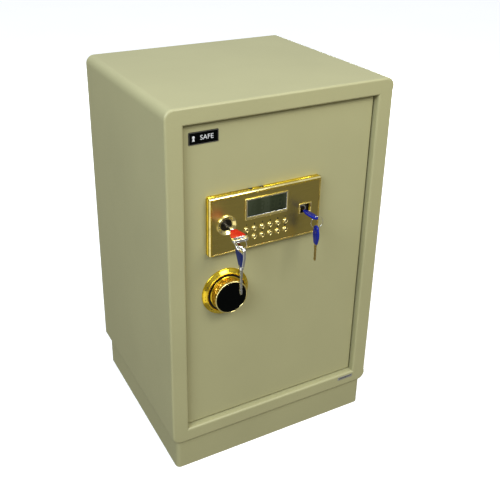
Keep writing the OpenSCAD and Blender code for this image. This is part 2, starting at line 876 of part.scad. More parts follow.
// Coloured field between the slot and the shank's collar
module inlay_outline(grow) {
    from = -bow_len + bar_depth + slot_h + inlay_from_slot - grow;
    to = -collar_in - inlay_from_collar + grow;
    intersection() {
        bow_outline(1 - grow);
        translate([-bow_len / 2, from]) square([bow_len, to - from]);
    }
}

module inlay_shape() {
    for (s = [-1, 1]) translate([0, 0, s * (bow_t / 2 - 0.1) - 0.4])
        linear_extrude(0.8) inlay_outline(0);
}

module main_key() {
    color(steel) translate([lock_x, bow_root_y, lock_z]) key_shape();
}

module main_key_inlay() {
    color("red") translate([lock_x, bow_root_y, lock_z]) inlay_shape();
}

module wire_ring(pos, r, wire, turn) {
    color(steel) translate(pos) rotate([0, 0, -turn]) rotate([90, 0, 0]) rotate_extrude()
        translate([r, 0]) circle(r = wire, $fn = 24);
}

module main_key_ring() {
    wire_ring(ring_pos, ring_r, ring_wire, ring_turn);
}

// The spare hangs with its shank down and its flat faces towards the sides
module hang_spare() {
    translate([spare_pos[0], spare_pos[1] + bow_lean, spare_pos[2] + bar_depth - bow_len])
        rotate([0, 0, -90]) rotate([-90, 0, 0]) children();
}

module spare_key() {
    color(steel) hang_spare() key_shape();
}

module spare_key_inlay() {
    color("navy") hang_spare() inlay_shape();
}

module emergency_plug() {
    keyway_end = small_root_y + small_blade_len + 0.4;
    color(steel) difference() {
        union() {
            rod(small_x, small_z, fascia_back + 1.4, cam_y0 + eps, small_plug_r);
            rod(small_x, small_z, cam_y0, cam_y1 - 1, 8);
            block(small_x - 4, small_x + 4, cam_y0, cam_y1 - 1, small_z - 20, small_z);
        }
        translate([small_x, 0, small_z]) rotate([0, small_key_tilt, 0])
            block(-3.6, 3.6, fascia_y, keyway_end, -1.2, 1.2);
    }
}

// Outline of an emergency key's bow: round at the slot, broad in the middle
module small_bow_outline() {
    hull() {
        translate([0, -small_bow_len + 7]) circle(r = 7, $fn = 32);
        for (s = [-1, 1]) {
            for (y = [0.4, 0.6]) translate([s * (small_bow_w / 2 - 4), -y * small_bow_len])
                circle(r = 4, $fn = 32);
            translate([s * 3.6, -2]) circle(r = 2, $fn = 32);
        }
    }
}

// An emergency key lying flat: blade towards +Y, bow towards -Y
module small_key_shape() {
    difference() {
        translate([0, 0, -small_bow_t / 2]) linear_extrude(small_bow_t) small_bow_outline();
        translate([0, -small_bow_len + small_slot_in, -small_bow_t / 2 - 1])
            linear_extrude(small_bow_t + 2) rounded(small_slot_w, small_slot_h, 2.2);
    }
    difference() {
        translate([-3.3, -eps, -0.9]) cube([6.6, small_blade_len, 1.8]);
        for (k = [0:4]) translate([3.3, small_blade_len - 4 - 4 * k, 0]) rotate([0, 0, 45])
            cube([1.6, 1.6, 3], center = true);
    }
}

module emergency_key() {
    color("blue") translate([small_x, small_root_y, small_z]) rotate([0, small_key_tilt, 0])
        small_key_shape();
}

module emergency_key_ring() {
    wire_ring(small_ring_pos, small_ring_r, small_wire, small_ring_turn);
}

module emergency_spare_key() {
    color("blue") translate(small_spare_pos + [0, 0, small_slot_in - small_bow_len])
        rotate([0, 0, 82]) rotate([-90, 0, 0]) small_key_shape();
}

// ---- Assembly ----

outer_shell();
back_panel();
plinth();
bolt_frame();
wall_fill();
inner_liner();
shelf();
shelf_pegs();
hinge_pins();
inspection_label();
door_plate();
door_pan();
pan_screws();
hinge_knuckles();
name_plate();
lock_housing();
lock_fascia();
display_bezel();
display_window();
control_board();
key_escutcheon();
main_lock_case();
emergency_bezel();
emergency_lock_case();
knob_base();
guide_posts();
lock_motor();
battery_box();
batteries();
knob();
knob_face();
spindle();
bolt_carriage();
lock_bolts();
blocking_pin();
key_bar();
main_plug();
main_key();
main_key_inlay();
main_key_ring();
spare_key();
spare_key_inlay();
emergency_plug();
emergency_key();
emergency_key_ring();
emergency_spare_key();
for (i = [1:buttons]) button(i - 1);
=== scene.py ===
"""Looks of a free-standing electronic safe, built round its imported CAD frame.

Units are metres, in the CAD frame: +X to the right as seen from the front, -Y out of the
front, +Z up. Small sizes are written in millimetres and go through MM.
"""

import json
import math

import bmesh
import bpy
from mathutils import Matrix, Vector

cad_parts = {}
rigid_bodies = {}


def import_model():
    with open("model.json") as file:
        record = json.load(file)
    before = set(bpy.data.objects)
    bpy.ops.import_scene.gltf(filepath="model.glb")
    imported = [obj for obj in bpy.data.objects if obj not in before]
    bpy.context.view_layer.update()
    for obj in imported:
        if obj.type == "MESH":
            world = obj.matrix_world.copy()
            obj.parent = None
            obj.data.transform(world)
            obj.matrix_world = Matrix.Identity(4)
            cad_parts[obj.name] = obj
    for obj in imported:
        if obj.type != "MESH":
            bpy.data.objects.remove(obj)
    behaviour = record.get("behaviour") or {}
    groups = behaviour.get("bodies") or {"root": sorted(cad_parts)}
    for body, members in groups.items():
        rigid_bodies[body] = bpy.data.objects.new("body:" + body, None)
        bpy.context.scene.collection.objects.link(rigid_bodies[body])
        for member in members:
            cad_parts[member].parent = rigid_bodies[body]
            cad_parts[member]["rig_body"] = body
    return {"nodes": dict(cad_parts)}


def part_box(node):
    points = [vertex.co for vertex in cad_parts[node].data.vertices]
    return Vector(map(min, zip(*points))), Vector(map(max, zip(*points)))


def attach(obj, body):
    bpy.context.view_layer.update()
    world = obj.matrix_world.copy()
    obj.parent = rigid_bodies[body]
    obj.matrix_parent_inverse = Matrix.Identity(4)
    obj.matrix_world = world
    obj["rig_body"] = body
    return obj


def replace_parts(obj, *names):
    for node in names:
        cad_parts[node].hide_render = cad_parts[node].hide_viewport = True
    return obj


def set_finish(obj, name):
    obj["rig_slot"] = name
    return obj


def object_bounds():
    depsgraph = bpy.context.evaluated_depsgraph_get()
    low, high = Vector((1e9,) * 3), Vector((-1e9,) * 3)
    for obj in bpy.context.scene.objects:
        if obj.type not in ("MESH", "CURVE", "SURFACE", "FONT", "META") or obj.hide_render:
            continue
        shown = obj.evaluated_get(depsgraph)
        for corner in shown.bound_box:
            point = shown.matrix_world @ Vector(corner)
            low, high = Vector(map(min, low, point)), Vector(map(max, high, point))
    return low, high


MM = 0.001
TAU = 2 * math.pi

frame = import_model()
cad_low, cad_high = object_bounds()


# ---- places from the frame ----


def centre(node):
    low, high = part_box(node)
    return (low + high) / 2


def size(node):
    low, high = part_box(node)
    return high - low


face_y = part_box("door_plate")[0].y
fascia_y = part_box("lock_fascia")[0].y
panel_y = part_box("lock_housing")[0].y
knob_at = centre("knob")
lock_at = centre("main_lock_case")
small_at = centre("emergency_lock_case")


# ---- materials ----


def fill_ramp(node, stops):
    """Gives a colour ramp its stops, each (position, colour)."""
    elements = node.color_ramp.elements
    while len(elements) < len(stops):
        elements.new(0.5)
    for element, (at, colour) in zip(elements, stops):
        element.position = at
        element.color = (*colour, 1)


class Shader:
    """A node material under construction; the helpers return sockets."""

    def __init__(self, name):
        self.mat = bpy.data.materials.new(name)
        self.mat.use_nodes = True
        self.tree = self.mat.node_tree
        self.bsdf = self.tree.nodes["Principled BSDF"]
        self.coords = self.tree.nodes.new("ShaderNodeTexCoord").outputs["Object"]

    def feed(self, socket, value):
        """Links another node's output, or sets a plain value."""
        if isinstance(value, bpy.types.NodeSocket):
            self.tree.links.new(value, socket)
        else:
            socket.default_value = value

    def node(self, kind, inputs, **settings):
        n = self.tree.nodes.new("ShaderNode" + kind)
        for key, value in settings.items():
            setattr(n, key, value)
        for key, value in inputs.items():
            self.feed(n.inputs[key], value)
        return n

    def stretched(self, scale):
        return self.node("Mapping", {"Vector": self.coords, "Scale": scale}).outputs[0]

    def noise(self, scale, detail=3.0, rough=0.5, where=None):
        inputs = {"Vector": where or self.coords, "Scale": scale, "Detail": detail, "Roughness": rough}
        return self.node("TexNoise", inputs).outputs["Fac"]

    def cells(self, scale):
        return self.node("TexVoronoi", {"Vector": self.coords, "Scale": scale}).outputs["Distance"]

    def spread(self, value, low, high, new_low, new_high):
        inputs = {"Value": value, "From Min": low, "From Max": high, "To Min": new_low, "To Max": new_high}
        return self.node("MapRange", inputs).outputs["Result"]

    def math(self, operation, a, b):
        return self.node("Math", {0: a, 1: b}, operation=operation).outputs[0]

    def ramp(self, value, stops):
        n = self.node("ValToRGB", {"Fac": value})
        fill_ramp(n, stops)
        return n.outputs["Color"]

    def blend(self, factor, base, colour):
        return self.node("Mix", {0: factor, 6: base, 7: (*colour, 1)}, data_type="RGBA").outputs[2]

    def bump(self, height, distance, strength=1.0, under=None):
        inputs = {"Height": height, "Distance": distance, "Strength": strength}
        if under is not None:
            inputs["Normal"] = under
        return self.node("Bump", inputs).outputs["Normal"]

    def set(self, **inputs):
        for key, value in inputs.items():
            self.feed(self.bsdf.inputs[key.replace("_", " ")], value)
        return self.mat


def tint(colour, factor):
    return tuple(min(1.0, c * factor) for c in colour)


def paint(name, colour, rough=0.42, grain=0.35):
    """Satin powder paint: fine orange peel, faint clouding and a few tiny dark specks."""
    s = Shader(name)
    clouds = s.noise(5.0, 4.0, 0.55)
    fine = s.noise(950.0, 2.0, 0.5)
    base = s.ramp(clouds, [(0.3, tint(colour, 0.955)), (0.7, tint(colour, 1.035))])
    mottle = s.blend(s.spread(fine, 0.35, 0.65, 0.0, 0.22), base, tint(colour, 0.86))
    specks = s.spread(s.cells(34.0), 0.018, 0.028, 1.0, 0.0)
    rare = s.spread(s.noise(11.0, 1.0), 0.57, 0.6, 0.0, 1.0)
    colour_out = s.blend(s.math("MULTIPLY", s.math("MULTIPLY", specks, rare), 0.55), mottle,
                         tint(colour, 0.35))
    peel = s.bump(s.noise(420.0, 2.0, 0.45), 0.0003, grain)
    ripple = s.bump(s.noise(9.0, 2.0, 0.5), 0.004, 0.10, peel)
    return s.set(Base_Color=colour_out, Roughness=s.spread(fine, 0.3, 0.7, rough - 0.05, rough + 0.07),
                 Normal=ripple, Specular_IOR_Level=0.45)


def metal(name, colour, rough=0.16, dark=0.55, wear=60.0, relief=0.0):
    """Plated metal with faint handling marks; relief adds a cast grain."""
    s = Shader(name)
    marks = s.noise(wear, 5.0, 0.65)
    base = s.ramp(marks, [(0.25, tint(colour, dark)), (0.55, colour), (0.8, tint(colour, 1.08))])
    rough_out = s.spread(s.noise(wear * 5, 4.0, 0.6), 0.3, 0.7, rough * 0.75, rough * 1.45)
    height = s.math("ADD", s.noise(wear * 2, 2.0), s.math("MULTIPLY", s.cells(1100.0), relief))
    return s.set(Base_Color=base, Metallic=1.0, Roughness=rough_out, Normal=s.bump(height, 0.0002, 0.22))


def brushed(name, colour, rough=0.26, along=(1, 1, 60), strength=0.22):
    """Metal with a fine straight grain."""
    s = Shader(name)
    where = s.stretched(along)
    lines = s.noise(38.0, 4.0, 0.7, where)
    smudge = s.noise(14.0, 4.0, 0.6)
    base = s.ramp(lines, [(0.3, tint(colour, 0.86)), (0.7, tint(colour, 1.1))])
    base = s.blend(s.spread(smudge, 0.4, 0.7, 0.0, 0.35), base, tint(colour, 0.72))
    rough_out = s.spread(smudge, 0.3, 0.7, rough * 0.85, rough * 1.25)
    return s.set(Base_Color=base, Metallic=1.0, Roughness=rough_out,
                 Normal=s.bump(lines, 0.00012, strength))


def plastic(name, colour, rough=0.25, coat=0.0, grain=0.06, vary=0.12, shine=0.5):
    """Moulded or enamelled surface with slight unevenness."""
    s = Shader(name)
    wide = s.noise(45.0, 3.0)
    base = s.ramp(wide, [(0.3, tint(colour, 1 - vary)), (0.7, tint(colour, 1 + vary))])
    rough_out = s.spread(s.noise(700.0, 2.0), 0.3, 0.7, rough * 0.8, rough * 1.25)
    return s.set(Base_Color=base, Roughness=rough_out, Normal=s.bump(s.noise(520.0, 2.0), 0.0002, grain),
                 Coat_Weight=coat, Coat_Roughness=0.06, Specular_IOR_Level=shine)


def foil(name, colour):
    """Printed metal foil with a fine straight grain."""
    s = Shader(name)
    lines = s.noise(30.0, 3.0, 0.6, s.stretched((1, 1, 40)))
    base = s.ramp(lines, [(0.35, tint(colour, 0.85)), (0.65, tint(colour, 1.05))])
    return s.set(Base_Color=base, Metallic=0.85, Roughness=s.spread(lines, 0.3, 0.7, 0.3, 0.45),
                 Normal=s.bump(lines, 0.0001, 0.15))


def dark_glass(name):
    """Tinted display window: a deep green-grey with faint diagonal streaks under a gloss."""
    s = Shader(name)
    angled = s.node("Mapping", {"Vector": s.coords, "Rotation": (0.0, 0.45, 0.0),
                                "Scale": (38.0, 1.0, 1.5)}).outputs[0]
    streaks = s.noise(1.0, 1.0, 0.4, angled)
    base = s.ramp(streaks, [(0.42, (0.020, 0.026, 0.012)), (0.62, (0.040, 0.048, 0.027))])
    rough_out = s.spread(s.noise(300.0), 0.3, 0.7, 0.05, 0.09)
    return s.set(Base_Color=base, Roughness=rough_out, Normal=s.bump(s.noise(60.0), 0.0001, 0.05),
                 Coat_Weight=0.02, Coat_Roughness=0.03, Specular_IOR_Level=0.12)


def cement(name, colour):
    """Rough cast filling."""
    s = Shader(name)
    base = s.ramp(s.noise(120.0, 6.0, 0.7), [(0.3, tint(colour, 0.75)), (0.7, tint(colour, 1.1))])
    return s.set(Base_Color=base, Roughness=0.9, Normal=s.bump(s.cells(240.0), 0.001, 0.5))


CREAM = (0.410, 0.392, 0.206)

MATS = {
    "cream": paint("cream_paint", CREAM),
    "door_cream": paint("door_cream_paint", tint(CREAM, 0.99), 0.44),
    # the plinth's cream is the body's made 5% darker: painted shade on the low, set-back plinth
    "plinth_shaded_cream": paint("plinth_cream_paint", tint(CREAM, 0.95), 0.46),
    "grey_paint": paint("grey_paint", (0.16, 0.16, 0.15), 0.5),
    "liner": paint("liner_paint", (0.46, 0.46, 0.43), 0.5, 0.5),
    "pan": paint("pan_paint", (0.40, 0.39, 0.27), 0.48, 0.4),
    "gold": metal("polished_gold", (0.86, 0.62, 0.045), 0.13, 0.72),
    "amber": metal("amber_gold", (0.88, 0.52, 0.055), 0.17, 0.5, 160.0, 0.35),
    "pale_gold": metal("pale_gold", (0.95, 0.82, 0.36), 0.11, 0.72),
    "fascia": brushed("bronze_fascia", (0.57, 0.465, 0.135), 0.3),
    "chrome": metal("chrome", (0.78, 0.79, 0.80), 0.09, 0.8),
    "worn_chrome": metal("worn_chrome", (0.62, 0.63, 0.64), 0.2, 0.55, 120.0),
    "steel": brushed("zinc_steel", (0.50, 0.51, 0.52), 0.32, (1, 1, 8)),
    "dark_steel": metal("dark_steel", (0.055, 0.048, 0.036), 0.24, 0.5, 120.0),
    "brass": metal("key_brass", (0.60, 0.43, 0.16), 0.24, 0.6, 150.0),
    "red": plastic("red_enamel", (0.56, 0.003, 0.003), 0.2, 0.06, shine=0.15),
    "navy": plastic("navy_enamel", (0.006, 0.018, 0.125), 0.2, 0.06, shine=0.12),
    "blue": plastic("blue_plastic", (0.003, 0.013, 0.25), 0.22, 0.08, 0.1, shine=0.25),
    "black_gloss": plastic("black_gloss", (0.0018, 0.0022, 0.0020), 0.10, 0.0, 0.02, shine=0.02),
    "black": plastic("black_plastic", (0.012, 0.012, 0.012), 0.42, 0.0, 0.3),
    "ink": plastic("black_ink", (0.006, 0.005, 0.004), 0.5, 0.0, 0.05),
    "board": plastic("green_board", (0.02, 0.10, 0.03), 0.35, 0.3, 0.25, 0.3),
    "cell": plastic("cell_sleeve", (0.36, 0.02, 0.012), 0.25, 0.4),
    "foil": foil("silver_foil", (0.62, 0.63, 0.64)),
    "glass": dark_glass("display_glass"),
    "segment": plastic("display_segment", (0.031, 0.038, 0.019), 0.12, 0.0, 0.02, shine=0.12),
    "white": plastic("white_print", (0.72, 0.73, 0.74), 0.4, 0.0, 0.03, 0.03),
    "fill": cement("fire_filling", (0.42, 0.40, 0.36)),
}

# CAD nodes that stay visible; the others are replaced by finer pieces
NODE_LOOKS = {
    "cream": ["outer_shell", "back_panel"],
    "door_cream": ["door_plate"],
    "plinth_shaded_cream": ["plinth"],
    "grey_paint": ["bolt_frame"],
    "liner": ["inner_liner", "shelf"],
    "pan": ["door_pan"],
    "fill": ["wall_fill"],
    "steel": ["shelf_pegs", "hinge_knuckles", "guide_posts", "bolt_carriage", "blocking_pin", "key_bar"],
    "chrome": ["hinge_pins", "lock_bolts", "spindle"],
    "worn_chrome": ["emergency_lock_case"],
    "dark_steel": ["main_lock_case", "main_plug", "emergency_plug"],
    "fascia": ["lock_fascia"],
    "board": ["control_board"],
    "black": ["lock_motor", "battery_box"],
    "cell": ["batteries"],
}

# Width of the soft edge on CAD nodes that have one, in mm
BEVELS = {
    "outer_shell": 0.5, "back_panel": 0.4, "plinth": 1.2, "bolt_frame": 0.5, "shelf": 0.4, "door_pan": 1.0,
    "inner_liner": 0.4, "hinge_knuckles": 0.4, "bolt_carriage": 0.4, "key_bar": 0.25, "lock_motor": 0.8,
    "battery_box": 0.6, "guide_posts": 0.4, "lock_bolts": 0.5, "spindle": 0.4,
}


def dress(node, look):
    """A CAD node keeps its mesh and gets its material and soft edges."""
    o = frame["nodes"][node]
    o.data.materials.clear()
    o.data.materials.append(MATS[look])
    if node in BEVELS:
        m = o.modifiers.new("edges", "BEVEL")
        m.width = BEVELS[node] * MM
        m.segments = 2
        m.limit_method = "ANGLE"
        m.angle_limit = math.radians(40)
        m.harden_normals = False


for look, names in NODE_LOOKS.items():
    for n in names:
        dress(n, look)

# ---- mesh helpers ----


def piece(name, verts, faces, look, body, slot, smooth=True, sharp=35):
    """A piece from its own points and faces; edges sharper than sharp degrees stay crisp."""
    mesh = bpy.data.meshes.new(name)
    mesh.from_pydata([tuple(v) for v in verts], [], faces)
    bm = bmesh.new()
    bm.from_mesh(mesh)
    bmesh.ops.remove_doubles(bm, verts=bm.verts, dist=1e-7)
    bmesh.ops.recalc_face_normals(bm, faces=bm.faces)
    bm.to_mesh(mesh)
    bm.free()
    return mesh_piece(name, mesh, look, body, slot, smooth, sharp)


def add(name, data):
    """A new object in the scene."""
    o = bpy.data.objects.new(name, data)
    bpy.context.scene.collection.objects.link(o)
    return o


def mesh_piece(name, mesh, look, body, slot, smooth=True, sharp=35):
    o = add(name, mesh)
    mesh.materials.clear()
    mesh.materials.append(MATS[look])
    if smooth:
        for p in mesh.polygons:
            p.use_smooth = True
        mesh.set_sharp_from_angle(angle=math.radians(sharp))
    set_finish(o, slot)
    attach(o, body)
    return o


def join(name, objects):
    """One piece from several that share a body and have one material each; the first gives its slot."""
    body, slot = objects[0]["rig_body"], objects[0]["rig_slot"]
    mesh = bpy.data.meshes.new(name)
    bm = bmesh.new()
    looks = []
    for part in objects:
        old = part.data
        look = old.materials[0]
        if look not in looks:
            looks.append(look)
            mesh.materials.append(look)
        start = len(bm.faces)
        bm.from_mesh(old)
        bm.faces.ensure_lookup_table()
        for f in bm.faces[start:]:
            f.material_index = looks.index(look)
        bpy.data.objects.remove(part)
        bpy.data.meshes.remove(old)
    bm.to_mesh(mesh)
    bm.free()
    o = add(name, mesh)
    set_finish(o, slot)
    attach(o, body)
    return o


def lathe(name, at, profile, look, body, slot, steps=128, shape=None, sharp=35):
    """Turned piece round an axis along Y. The profile is (radius, distance out of the front), in mm,
    closed on the axis where the radius is 0; shape(radius, out, angle) may move a point."""
    verts, faces = [], []
    n = len(profile)
    for k in range(steps):
        a = TAU * k / steps
        for r, out in profile:
            if shape:
                r, out = shape(r, out, a)
            verts.append((at[0] + r * MM * math.cos(a), at[1] - out * MM, at[2] + r * MM * math.sin(a)))
    for k in range(steps):
        k2 = (k + 1) % steps
        for i in range(n - 1):
            faces.append((k * n + i, k * n + i + 1, k2 * n + i + 1, k2 * n + i))
        if profile[0][0] > 0:
            faces.append((k * n + n - 1, k * n, k2 * n, k2 * n + n - 1))
    return piece(name, verts, faces, look, body, slot, True, sharp)


def loop(cx, cz, w, h, r, corner=6):
    """Points of a round-cornered rectangle, in mm."""
    r = max(0.02, min(r, w / 2, h / 2))
    points = []
    for sx, sz, start in ((1, 1, 0), (-1, 1, 90), (-1, -1, 180), (1, -1, 270)):
        mid_x, mid_z = cx + sx * (w / 2 - r), cz + sz * (h / 2 - r)
        for k in range(corner + 1):
            a = math.radians(start + 90 * k / corner)
            points.append((mid_x + r * math.cos(a), mid_z + r * math.sin(a)))
    return points


def loft(name, loops, look, body, slot, closed=False, sharp=35):
    """Skin over loops of equal length, each (y in mm, points in mm). Closed joins the last to the first;
    otherwise both ends are capped."""
    n = len(loops[0][1])
    verts = [(x * MM, y * MM, z * MM) for y, points in loops for x, z in points]
    faces = []
    rows = len(loops)
    for i in range(rows if closed else rows - 1):
        j = (i + 1) % rows
        for k in range(n):
            k2 = (k + 1) % n
            faces.append((i * n + k, i * n + k2, j * n + k2, j * n + k))
    if not closed:
        faces.append(tuple(range(n)))
        faces.append(tuple(range((rows - 1) * n, rows * n)))
    return piece(name, verts, faces, look, body, slot, True, sharp)


def flat(name, outlines, thick, edge, matrix, look, body, slot, corner=4, sharp=35):
    """A flat piece cut to outlines (the first is the outside, others are holes), in mm in its own XY
    plane, with rounded edges, put in place by matrix."""
    curve = bpy.data.curves.new(name, "CURVE")
    curve.dimensions = "2D"
    curve.fill_mode = "BOTH"
    curve.extrude = max(0.0, thick / 2 - edge) * MM
    curve.bevel_depth = edge * MM
    curve.bevel_resolution = corner
    curve.offset = -edge * MM
    for outline in outlines:
        spline = curve.splines.new("POLY")
        spline.points.add(len(outline) - 1)
        for p, (x, y) in zip(spline.points, outline):
            p.co = (x * MM, y * MM, 0, 1)
        spline.use_cyclic_u = True
    return from_curve(name, curve, matrix, look, body, slot, sharp)


def from_curve(name, curve, matrix, look, body, slot, sharp=35):
    """A mesh piece from a curve, cleaned and put in place by matrix."""
    holder = add(name + "_curve", curve)
    bpy.context.view_layer.update()
    mesh = bpy.data.meshes.new_from_object(holder.evaluated_get(bpy.context.evaluated_depsgraph_get()))
    bpy.data.objects.remove(holder)
    bpy.data.curves.remove(curve)
    mesh.name = name
    bm = bmesh.new()
    bm.from_mesh(mesh)
    bmesh.ops.remove_doubles(bm, verts=bm.verts, dist=1e-6)
    bmesh.ops.dissolve_degenerate(bm, dist=1e-7, edges=bm.edges)
    bmesh.ops.recalc_face_normals(bm, faces=bm.faces)
    bm.to_mesh(mesh)
    bm.free()
    mesh.transform(matrix)
    return mesh_piece(name, mesh, look, body, slot, True, sharp)


FONT_SIZE_PER_HEIGHT = 1.35


def digit(name, text, height, depth, matrix, look, body, slot, bold=0.0):
    """A raised numeral or sign of that height in mm, centred on the matrix's origin; bold widens its
    strokes."""
    curve = bpy.data.curves.new(name, "FONT")
    curve.body = text
    curve.align_x = "CENTER"
    curve.align_y = "CENTER"
    curve.size = height * MM * FONT_SIZE_PER_HEIGHT
    curve.extrude = depth / 2 * MM
    curve.offset = bold * MM
    curve.resolution_u = 3
    return from_curve(name, curve, matrix, look, body, slot)


def wire(name, points, radius, look, body, slot):
    """Round wire along points in metres, of that radius in mm, with flat ends."""
    curve = bpy.data.curves.new(name, "CURVE")
    curve.dimensions = "3D"
    curve.bevel_depth = radius * MM
    curve.bevel_resolution = 3
    curve.use_fill_caps = True
    spline = curve.splines.new("POLY")
    spline.points.add(len(points) - 1)
    for p, co in zip(spline.points, points):
        p.co = (*co, 1)
    return from_curve(name, curve, Matrix.Identity(4), look, body, slot, 60)


def arc(cx, cy, r, start, end, steps=10):
    """Points along an arc between two angles in degrees."""
    return [(cx + r * math.cos(math.radians(start + (end - start) * k / steps)),
             cy + r * math.sin(math.radians(start + (end - start) * k / steps))) for k in range(steps + 1)]


def hull(points):
    """Convex outline round points, counter-clockwise."""
    points = sorted(set(points))

    def half(ps):
        out = []
        for p in ps:
            while len(out) > 1 and ((out[-1][0] - out[-2][0]) * (p[1] - out[-2][1])
                                    - (out[-1][1] - out[-2][1]) * (p[0] - out[-2][0])) <= 1e-9:
                out.pop()
            out.append(p)
        return out[:-1]

    return half(points) + half(points[::-1])


# Facing the front: local X to the right, local Y up, local Z out of the front
FRONT = Matrix(((1, 0, 0, 0), (0, 0, -1, 0), (0, 1, 0, 0), (0, 0, 0, 1)))


def front(x, y, z):
    return Matrix.Translation((x, y, z)) @ FRONT


def spin(axis, degrees):
    return Matrix.Rotation(math.radians(degrees), 4, axis)


def move(v):
    return Matrix.Translation(v)


def box_loop(box, r=0.3):
    """Loop of a rectangle given as (x0, x1, z0, z1) in mm."""
    x0, x1, z0, z1 = box
    return loop((x0 + x1) / 2, (z0 + z1) / 2, x1 - x0, z1 - z0, r)


def between(a, b, t):
    return tuple(p + (q - p) * t for p, q in zip(a, b))


def edges(node):
    """(x0, x1, z0, z1) of a CAD node, in mm."""
    low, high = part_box(node)
    return low.x / MM, high.x / MM, low.z / MM, high.z / MM


def grown(box, by):
    return box[0] - by, box[1] + by, box[2] - by, box[3] + by


def carve(o, cutters):
    """Cuts closed shapes out of a piece and removes them."""
    for c in cutters:
        m = o.modifiers.new("cut", "BOOLEAN")
        m.operation = "DIFFERENCE"
        m.solver = "EXACT"
        m.material_mode = "TRANSFER"
        m.object = c
    bpy.context.view_layer.update()
    mesh = bpy.data.meshes.new_from_object(o.evaluated_get(bpy.context.evaluated_depsgraph_get()))
    old = o.data
    o.modifiers.clear()
    o.data = mesh
    mesh.name = old.name + "_cut"
    bpy.data.meshes.remove(old)
    for c in cutters:
        bpy.data.objects.remove(c)
    return o


# ---- lock panel ----

# The fascia's and the door's front faces, in mm
FASCIA = fascia_y / MM
FACE = face_y / MM


def panel_frame():
    """Cast gold frame with a stepped side, a bright bevel and two notches in its top, painted black inside
    as painted shade.
    """
    outer = edges("lock_housing")
    out = FACE - panel_y / MM
    corner_r = 2.6
    # distance in from the outer edge, distance out of the door
    profile = [
        (0.0, 0.0), (0.0, 1.1), (0.4, 1.5), (0.4, 2.0), (0.0, 2.4), (0.0, 5.0), (0.75, 5.6), (0.75, 6.5),
        (0.0, 7.1), (0.0, out - 2.5), (0.12, out - 2.2), (0.4, out - 1.85), (2.0, out - 0.3),
        (2.3, out - 0.1), (2.7, out - 0.02), (3.75, out - 0.05), (4.0, out - 0.3), (4.05, out - 0.75),
        (4.45, out - 0.75), (4.45, out - 2.5), (7.0, out - 2.5), (7.0, 0.0),
    ]
    loops = [(FACE - o, box_loop(grown(outer, -u), max(0.4, corner_r - u))) for u, o in profile]
    o = loft("panel_frame", loops, "gold", "door", "gold", closed=True, sharp=50)
    cut_notches(o, outer)
    o.data.materials.append(MATS["pale_gold"])
    bright = len(o.data.materials) - 1
    for f in o.data.polygons:
        slanted = -0.95 < f.normal.y < -0.35
        if slanted and f.center.y < (FACE - out + 2.4) * MM:
            f.material_index = bright
    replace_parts(o, "lock_housing")


def cut_notches(frame_piece, outer):
    """Shallow notches in the top of the panel's frame; their insides are painted black, as painted shade.
    """
    width, reach, depth = 6.5, 5.6, 0.6
    mid = (outer[0] + outer[1]) / 2
    cutters = []
    for k, x in enumerate((mid - 27.0, mid - 6.0)):
        rect = (x - width / 2, x + width / 2, outer[3] - depth, outer[3] + 2.0)
        loops = [(FACE - reach, box_loop(rect)), (FACE + 1, box_loop(rect))]
        # the cutter's black ink passes to the cut faces: painted shade inside the notches
        cutters.append(loft(f"notch_{k}", loops, "ink", "door", "gold"))
    carve(frame_piece, cutters)


# How far the display's glass stands out of the fascia, in mm
GLASS_OUT = 1.2


def display():
    """Pale gold frame, chrome trim and dark glass, each a loop that steps from its edge to the window."""
    outer, inner = edges("display_bezel"), edges("display_window")
    # share of the way in from the outer edge to the window, distance out of the fascia
    profile = [(0, 0.0), (0, 1.3), (0.06, 1.9), (0.18, 2.2), (0.6, 2.2), (0.85, 2.0), (1.0, 1.5),
               (1.0, 0.0)]
    loops = [(FASCIA - o, box_loop(between(outer, inner, t), 0.9 - 0.6 * t)) for t, o in profile]
    o = loft("display_frame", loops, "pale_gold", "door", "gold", closed=True, sharp=50)
    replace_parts(o, "display_bezel")
    trim = [(0.0, 0.3), (0.0, 1.45), (0.25, 1.75), (0.75, 1.7), (1.0, 1.4), (1.0, 0.3)]
    loops = [(FASCIA - o, box_loop(grown(inner, -u), 0.3)) for u, o in trim]
    loft("display_trim", loops, "chrome", "door", "chrome", closed=True, sharp=50)
    glass = grown(inner, -0.3)
    loops = [(FASCIA, box_loop(glass)), (FASCIA - GLASS_OUT + 0.2, box_loop(glass)),
             (FASCIA - GLASS_OUT, box_loop(grown(glass, -0.4)))]
    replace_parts(loft("display_glass", loops, "glass", "door", "window"), "display_window")
    segments(inner)


def segments(inner):
    """Faint unlit bars of four numerals and a colon on the window's face."""
    high, wide, bar, lean = 17.0, 9.0, 1.7, 0.09
    x_mid, z_mid = (inner[0] + inner[1]) / 2, (inner[2] + inner[3]) / 2
    tip = bar / 2
    h, v = wide / 2 - tip, high / 4 - bar / 4
    across, down = h - 0.3, v - 0.2
    flat_bar = [(-across, 0), (tip - across, tip), (across - tip, tip), (across, 0), (across - tip, -tip),
                (tip - across, -tip)]
    tall_bar = [(0, down), (tip, down - tip), (tip, tip - down), (0, -down), (-tip, tip - down),
                (-tip, down - tip)]
    bars = [(0, z, flat_bar) for z in (2 * v, 0, -2 * v)]
    bars += [(x, z, tall_bar) for z in (v, -v) for x in (-h, h)]
    unlit = ("segment", "door", "window")

    def place(x, z):
        return front((x_mid + x + lean * z) * MM, (FASCIA - GLASS_OUT - 0.01) * MM, (z_mid + z) * MM)

    made = []
    for k, x in enumerate((-24.5, -10.5, 10.5, 24.5)):
        for j, (dx, dz, shape) in enumerate(bars):
            outline = [(px + lean * pz, pz) for px, pz in shape]
            at = place(x + dx, dz)
            made.append(flat(f"segment_{k}_{j}", [outline], 0.05, 0.01, at, *unlit, corner=1))
    for j, dz in enumerate((3.2, -3.2)):
        dot = loop(0, 0, 2.0, 2.0, 0.4, 3)
        made.append(flat(f"segment_dot_{j}", [dot], 0.05, 0.01, place(0, dz), *unlit, corner=1))
    join("display_segments", made)


SIGNS = ["1", "2", "3", "4", "5", "*", "6", "7", "8", "9", "0", "#"]


